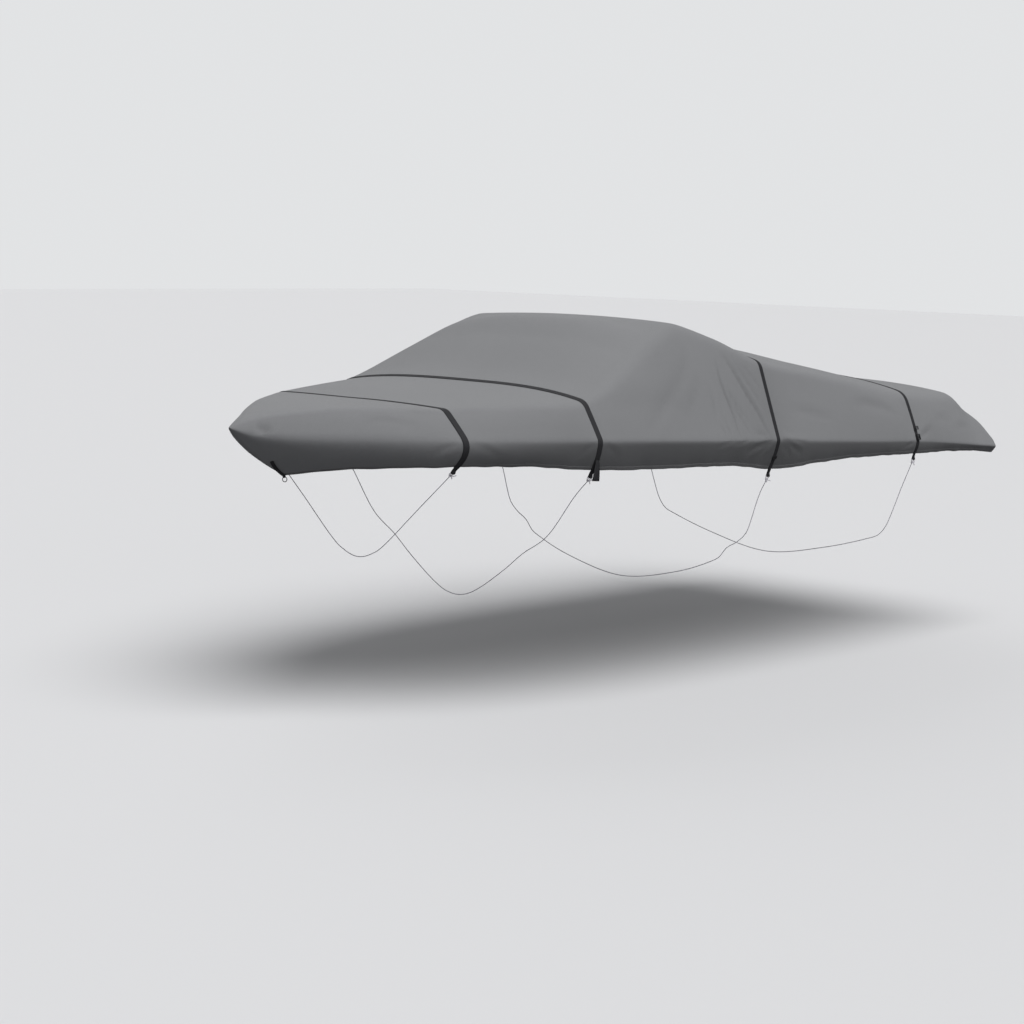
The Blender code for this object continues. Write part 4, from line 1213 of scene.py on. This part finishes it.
# %% [markdown]
# ## Finishes
# The photograph shows matt coated cloth, dull black webbing, a pale lilac cord and plain
# black plastic. Up close each has its own grain, so each material is built from small
# groups: a plain weave, ribs, a braid, and an uneven tone that they all share. The
# groups read cloth measures in metres, so every grain has its true size.

# %% Tools for node groups
def new_group(name, inputs, outputs):
    """An empty shader node group with named sockets: (name, type, value)."""
    group = bpy.data.node_groups.new(name, "ShaderNodeTree")
    for socket, kind, value in inputs:
        made = group.interface.new_socket(name=socket, in_out="INPUT", socket_type=kind)
        if value is not None:
            made.default_value = value
    for socket, kind in outputs:
        group.interface.new_socket(name=socket, in_out="OUTPUT", socket_type=kind)
    return group, group.nodes.new("NodeGroupInput"), group.nodes.new("NodeGroupOutput")


def wire_in(tree, socket, value):
    """Give a socket a colour, a number, or another socket to read."""
    if isinstance(value, tuple):
        socket.default_value = (*value, 1)
    elif isinstance(value, (int, float)):
        socket.default_value = value
    else:
        tree.links.new(value, socket)


def wire_math(tree, operation, *values, clamp=False):
    """One Math node; each value is a number or a socket."""
    node = tree.nodes.new("ShaderNodeMath")
    node.operation = operation
    node.use_clamp = clamp
    for socket, value in zip(node.inputs, values):
        wire_in(tree, socket, value)
    return node.outputs[0]


def mix_colour(tree, share, first, second):
    """One colour Mix node; colours are tuples or sockets."""
    node = tree.nodes.new("ShaderNodeMix")
    node.data_type = "RGBA"
    for place, value in ((0, share), (6, first), (7, second)):
        wire_in(tree, node.inputs[place], value)
    return node.outputs[2]


def split_axes(tree, vector):
    """The three numbers of a vector."""
    node = tree.nodes.new("ShaderNodeSeparateXYZ")
    tree.links.new(vector, node.inputs[0])
    return node.outputs


def noise_value(tree, vector, scale, detail=3.0, rough=0.5, stretch=None):
    """A noise value from 0 to 1, drawn out along an axis if asked."""
    if stretch:
        mapping = tree.nodes.new("ShaderNodeMapping")
        mapping.inputs["Scale"].default_value = stretch
        tree.links.new(vector, mapping.inputs["Vector"])
        vector = mapping.outputs[0]
    node = tree.nodes.new("ShaderNodeTexNoise")
    node.inputs["Scale"].default_value = scale
    node.inputs["Detail"].default_value = detail
    node.inputs["Roughness"].default_value = rough
    tree.links.new(vector, node.inputs["Vector"])
    return node.outputs["Fac"]


print("node tools ready")

# %% [markdown]
# ### Weave, ribs and braid
# Polyester canvas has one thread over, one under, in both directions. Two rows of round
# threads are drawn with sines, and a chequer of half threads says which lies on top. A
# braided cord is the same crossing laid slantwise. Webbing shows a rib for each weft
# thread and finer lines along it. Each group gives a height for the relief and the gaps
# between threads, which look darker.

# %% Weave, rib and braid groups
def half_waves(tree, place, pitch):
    """A row of round threads across one direction, and which thread a point is on."""
    turns = wire_math(tree, "DIVIDE", place, pitch)
    wave = wire_math(tree, "SINE", wire_math(tree, "MULTIPLY", turns, math.pi))
    return wire_math(tree, "ABSOLUTE", wave), wave


def interlaced(tree, one_way, other_way, pitch):
    """Height of two rows of threads that cross over and under by turns."""
    first, first_wave = half_waves(tree, one_way, pitch)
    second, second_wave = half_waves(tree, other_way, pitch)
    chequer = wire_math(tree, "MULTIPLY", first_wave, second_wave)
    over = wire_math(tree, "GREATER_THAN", chequer, 0.0)
    under = wire_math(tree, "SUBTRACT", 1.0, over)
    return wire_math(tree, "ADD", wire_math(tree, "MULTIPLY", first, over),
                     wire_math(tree, "MULTIPLY", second, under))


def ribbed(tree, across, along, pitch):
    """Height of ribs across webbing, with finer lines along it."""
    ribs, _ = half_waves(tree, along, pitch)
    lines, _ = half_waves(tree, across, wire_math(tree, "MULTIPLY", pitch, 0.75))
    return wire_math(tree, "ADD", ribs, wire_math(tree, "MULTIPLY", lines, 0.35))


def braided(tree, across, along, pitch):
    """Height of strands that cross slantwise."""
    return interlaced(tree, wire_math(tree, "ADD", across, along),
                      wire_math(tree, "SUBTRACT", across, along), pitch)


def grain_group(name, pitch_name, pitch, height_of, full=1.0):
    """A group from cloth metres and a pitch to a grain's height and its gaps."""
    group, inside, outside = new_group(
        name, [("Cloth Metres", "NodeSocketVector", None),
               (pitch_name, "NodeSocketFloat", pitch)],
        [("Height", "NodeSocketFloat"), ("Gap", "NodeSocketFloat")])
    axes = split_axes(group, inside.outputs[0])
    height = height_of(group, axes[0], axes[1], inside.outputs[1])
    group.links.new(height, outside.inputs[0])
    gap = wire_math(group, "SUBTRACT", full, height, clamp=True)
    group.links.new(gap, outside.inputs[1])
    return group


weave = grain_group("plain_weave", "Thread Pitch", 0.0009, interlaced)
rib = grain_group("webbing_rib", "Rib Pitch", 0.0022, ribbed, 0.8)
braid = grain_group("cord_braid", "Strand Pitch", 0.0016, braided)
print("groups:", weave.name, rib.name, braid.name)

# %% [markdown]
# ### Uneven tone
# Nothing that has stood outside keeps one flat colour. This group gives a slow cloud of
# lighter and darker places, finer mottling, and a little dust where a surface looks up.

# %% Shared tone group
def make_tone_group():
    """The group that every material takes its colour and roughness from."""
    group, inside, outside = new_group(
        "weathered_tone",
        [("Place", "NodeSocketVector", None), ("Colour", "NodeSocketColor", (0.2, 0.2, 0.2, 1)),
         ("Dust Colour", "NodeSocketColor", (0.3, 0.3, 0.29, 1)),
         ("Cloud Amount", "NodeSocketFloat", 0.06), ("Dust Amount", "NodeSocketFloat", 0.1),
         ("Base Roughness", "NodeSocketFloat", 0.8)],
        [("Colour", "NodeSocketColor"), ("Roughness", "NodeSocketFloat"),
         ("Dust", "NodeSocketFloat")])
    place, colour, dust_colour, cloud_amount, dust_amount, roughness = inside.outputs[:6]
    cloud = wire_math(group, "MULTIPLY", noise_value(group, place, 1.3, 3.0, 0.55), 0.7)
    mottle = wire_math(group, "MULTIPLY", noise_value(group, place, 22.0, 4.0, 0.6), 0.3)
    centred = wire_math(group, "SUBTRACT", wire_math(group, "ADD", cloud, mottle), 0.5)
    swing = wire_math(group, "MULTIPLY", centred, cloud_amount)
    gain = wire_math(group, "ADD", 1.0, wire_math(group, "MULTIPLY", swing, 2.0))
    scale = group.nodes.new("ShaderNodeVectorMath")
    scale.operation = "SCALE"
    group.links.new(colour, scale.inputs[0])
    group.links.new(gain, scale.inputs["Scale"])
    shape = group.nodes.new("ShaderNodeNewGeometry")
    upward = wire_math(group, "MAXIMUM", split_axes(group, shape.outputs["Normal"])[2], 0.0)
    facing = wire_math(group, "POWER", upward, 2.0)
    speck = noise_value(group, place, 60.0, 5.0, 0.7)
    dust = wire_math(group, "MULTIPLY", wire_math(group, "MULTIPLY", facing, speck),
                     dust_amount, clamp=True)
    rough = wire_math(group, "ADD", roughness, wire_math(group, "MULTIPLY", dust, 0.3),
                      clamp=True)
    results = (mix_colour(group, dust, scale.outputs[0], dust_colour), rough, dust)
    for socket, result in zip(outside.inputs, results):
        group.links.new(result, socket)
    return group


weathered = make_tone_group()
print("group:", weathered.name)

# %% [markdown]
# Every material starts the same way: the tone group feeds its colour and its roughness,
# and on the sheet a stored painted shade darkens that colour where the cloth lies in
# shade. The shader itself stays in the material.

# %% Tools for materials
def add_group(tree, group, **values):
    """Place a group in a material. Names use _ for a space; values are numbers or sockets."""
    node = tree.nodes.new("ShaderNodeGroup")
    node.node_tree = group
    for name, value in values.items():
        wire_in(tree, node.inputs[name.replace("_", " ")], value)
    return node


def start_material(name, colour, dust, rough, specular, cloud=0.1, dust_amount=0.22,
                   faded=False):
    """A material with its uneven tone, and the two measures that the grains read."""
    material = bpy.data.materials.new(name)
    material.use_nodes = True
    tree = material.node_tree
    shader = tree.nodes["Principled BSDF"]
    shader.inputs["Specular IOR Level"].default_value = specular
    uv = tree.nodes.new("ShaderNodeUVMap")
    uv.uv_map = "cloth_metres"
    place = tree.nodes.new("ShaderNodeTexCoord").outputs["Object"]
    # Painted shade: the stored value darkens the colour towards black where the sheet lies in
    # shade.
    if faded:
        stored = tree.nodes.new("ShaderNodeAttribute")
        stored.attribute_name = "sun_faded"
        colour = mix_colour(tree, stored.outputs["Fac"], (0.0, 0.0, 0.0), colour)
    tone = add_group(tree, weathered, Place=place, Colour=colour, Dust_Colour=dust,
                     Cloud_Amount=cloud, Dust_Amount=dust_amount, Base_Roughness=rough)
    tree.links.new(tone.outputs["Roughness"], shader.inputs["Roughness"])
    return material, shader, uv.outputs[0], place, tone.outputs["Colour"]


def bump(tree, height, distance, strength=1.0, below=None):
    """A Bump node of the real height in metres."""
    node = tree.nodes.new("ShaderNodeBump")
    node.inputs["Distance"].default_value = distance
    node.inputs["Strength"].default_value = strength
    tree.links.new(height, node.inputs["Height"])
    if below:
        tree.links.new(below, node.inputs["Normal"])
    return node.outputs[0]


print("material tools ready")

# %% [markdown]
# ### Coated cloth
# The top has faded a little in the sun, and the cloth that turns under the rail line has
# kept its darker dye. The stored value on the sheet tells the material where that is. Up
# close the weave shows, with threads of uneven thickness that run both ways, and faint
# wrinkles a few centimetres long. The hem is three layers of the same cloth, and the dirt
# that runs down to it leaves it darker.

# %% Cloth materials
def make_cloth(name, top, faded=False):
    """Matt coated canvas: weave, slubs, wrinkles and a trace of sheen."""
    material, shader, uv, place, tone = start_material(
        name, top, (0.27, 0.268, 0.262), 0.84, 0.22, 0.055, 0.12, faded)
    tree = material.node_tree
    threads = add_group(tree, weave, Cloth_Metres=uv, Thread_Pitch=0.0009)
    slubs = [wire_math(tree, "MULTIPLY", noise_value(tree, uv, 90.0, 2.0, 0.5, stretch), 0.5)
             for stretch in ((12.0, 0.35, 1.0), (0.35, 12.0, 1.0))]
    thin = wire_math(tree, "SUBTRACT", 0.62, wire_math(tree, "ADD", *slubs), clamp=True)
    dark = wire_math(tree, "ADD", wire_math(tree, "MULTIPLY", threads.outputs["Gap"], 0.16),
                     wire_math(tree, "MULTIPLY", thin, 0.35), clamp=True)
    base = mix_colour(tree, dark, tone, (0.05, 0.05, 0.052))
    tree.links.new(base, shader.inputs["Base Color"])
    shader.inputs["Sheen Weight"].default_value = 0.04
    shader.inputs["Sheen Roughness"].default_value = 0.5
    wrinkles = bump(tree, noise_value(tree, place, 34.0, 3.0, 0.55), 0.0009, 0.5)
    relief = bump(tree, threads.outputs["Height"], 0.00022, 0.6, wrinkles)
    tree.links.new(relief, shader.inputs["Normal"])
    return material


# The sheet's colour takes the stored painted shade.
cover.data.materials.append(make_cloth("coated_cloth", (0.236, 0.239, 0.247), True))
# Painted shade: the hem is a darker copy of the same cloth's colour.
hem.data.materials.append(make_cloth("hem_cloth", (0.150, 0.151, 0.155)))
print("cloth materials made")

# %% [markdown]
# ### Webbing, thread, cord and plastic
# Webbing and cord take a grain group for their relief, and their gaps are darker than
# their threads. A fuzz of fine noise keeps them from looking cast. Moulded plastic and
# sewing thread have no weave that shows, so a fine even grain is enough: near smooth for
# plastic, and dull for thread.

# %% Webbing, cord, thread and plastic materials
def make_grained(name, grain, pitch_name, pitch, colour, gap_colour, dust, rough, gap=0.5):
    """A material whose grain comes from one of the weave groups."""
    material, shader, uv, place, tone = start_material(name, colour, dust, rough, 0.25)
    tree = material.node_tree
    threads = add_group(tree, grain, Cloth_Metres=uv, **{pitch_name: pitch})
    share = wire_math(tree, "MULTIPLY", threads.outputs["Gap"], gap)
    tree.links.new(mix_colour(tree, share, tone, gap_colour), shader.inputs["Base Color"])
    fuzz = wire_math(tree, "MULTIPLY", noise_value(tree, place, 900.0, 2.0, 0.6), 0.35)
    height = wire_math(tree, "ADD", threads.outputs["Height"], fuzz)
    tree.links.new(bump(tree, height, 0.0003), shader.inputs["Normal"])
    return material


def make_plain_grained(name, colour, dust, rough, scale, relief):
    """A material with a fine even grain, for moulded plastic and for thread."""
    material, shader, _, place, tone = start_material(
        name, colour, dust, rough, 0.35, dust_amount=0.25)
    tree = material.node_tree
    tree.links.new(tone, shader.inputs["Base Color"])
    height = noise_value(tree, place, scale, 3.0, 0.6)
    tree.links.new(bump(tree, height, relief), shader.inputs["Normal"])
    return material


webbing_black = make_grained("ribbed_webbing", rib, "Rib_Pitch", 0.0022, (0.026, 0.026, 0.029),
                             (0.008, 0.008, 0.009), (0.10, 0.10, 0.10), 0.78)
cord_lilac = make_grained("braided_cord", braid, "Strand_Pitch", 0.0016, (0.86, 0.83, 0.90),
                          (0.50, 0.47, 0.56), (0.6, 0.58, 0.56), 0.7, 0.45)
plastic_black = make_plain_grained("moulded_plastic", (0.014, 0.014, 0.016),
                                   (0.10, 0.10, 0.10), 0.42, 700.0, 0.00005)
grey_thread = make_plain_grained("grey_thread", (0.13, 0.13, 0.135), (0.2, 0.2, 0.2),
                                 0.6, 2500.0, 0.00008)
black_thread = make_plain_grained("black_thread", (0.03, 0.03, 0.034), (0.12, 0.12, 0.12),
                                  0.55, 2500.0, 0.00008)
wearers = [(webbing_black, (tab, *straps.values())), (plastic_black, (ring, *adjusters.values())),
           (cord_lilac, (*knots.values(), *cords.values())), (grey_thread, (hem_thread,)),
           (black_thread, (strap_thread, box_thread))]
for material, pieces in wearers:
    for piece in pieces:
        piece.data.materials.append(material)
print("materials:", len(bpy.data.materials))

# %% [markdown]
# ## Update the view layer

bpy.context.view_layer.update()
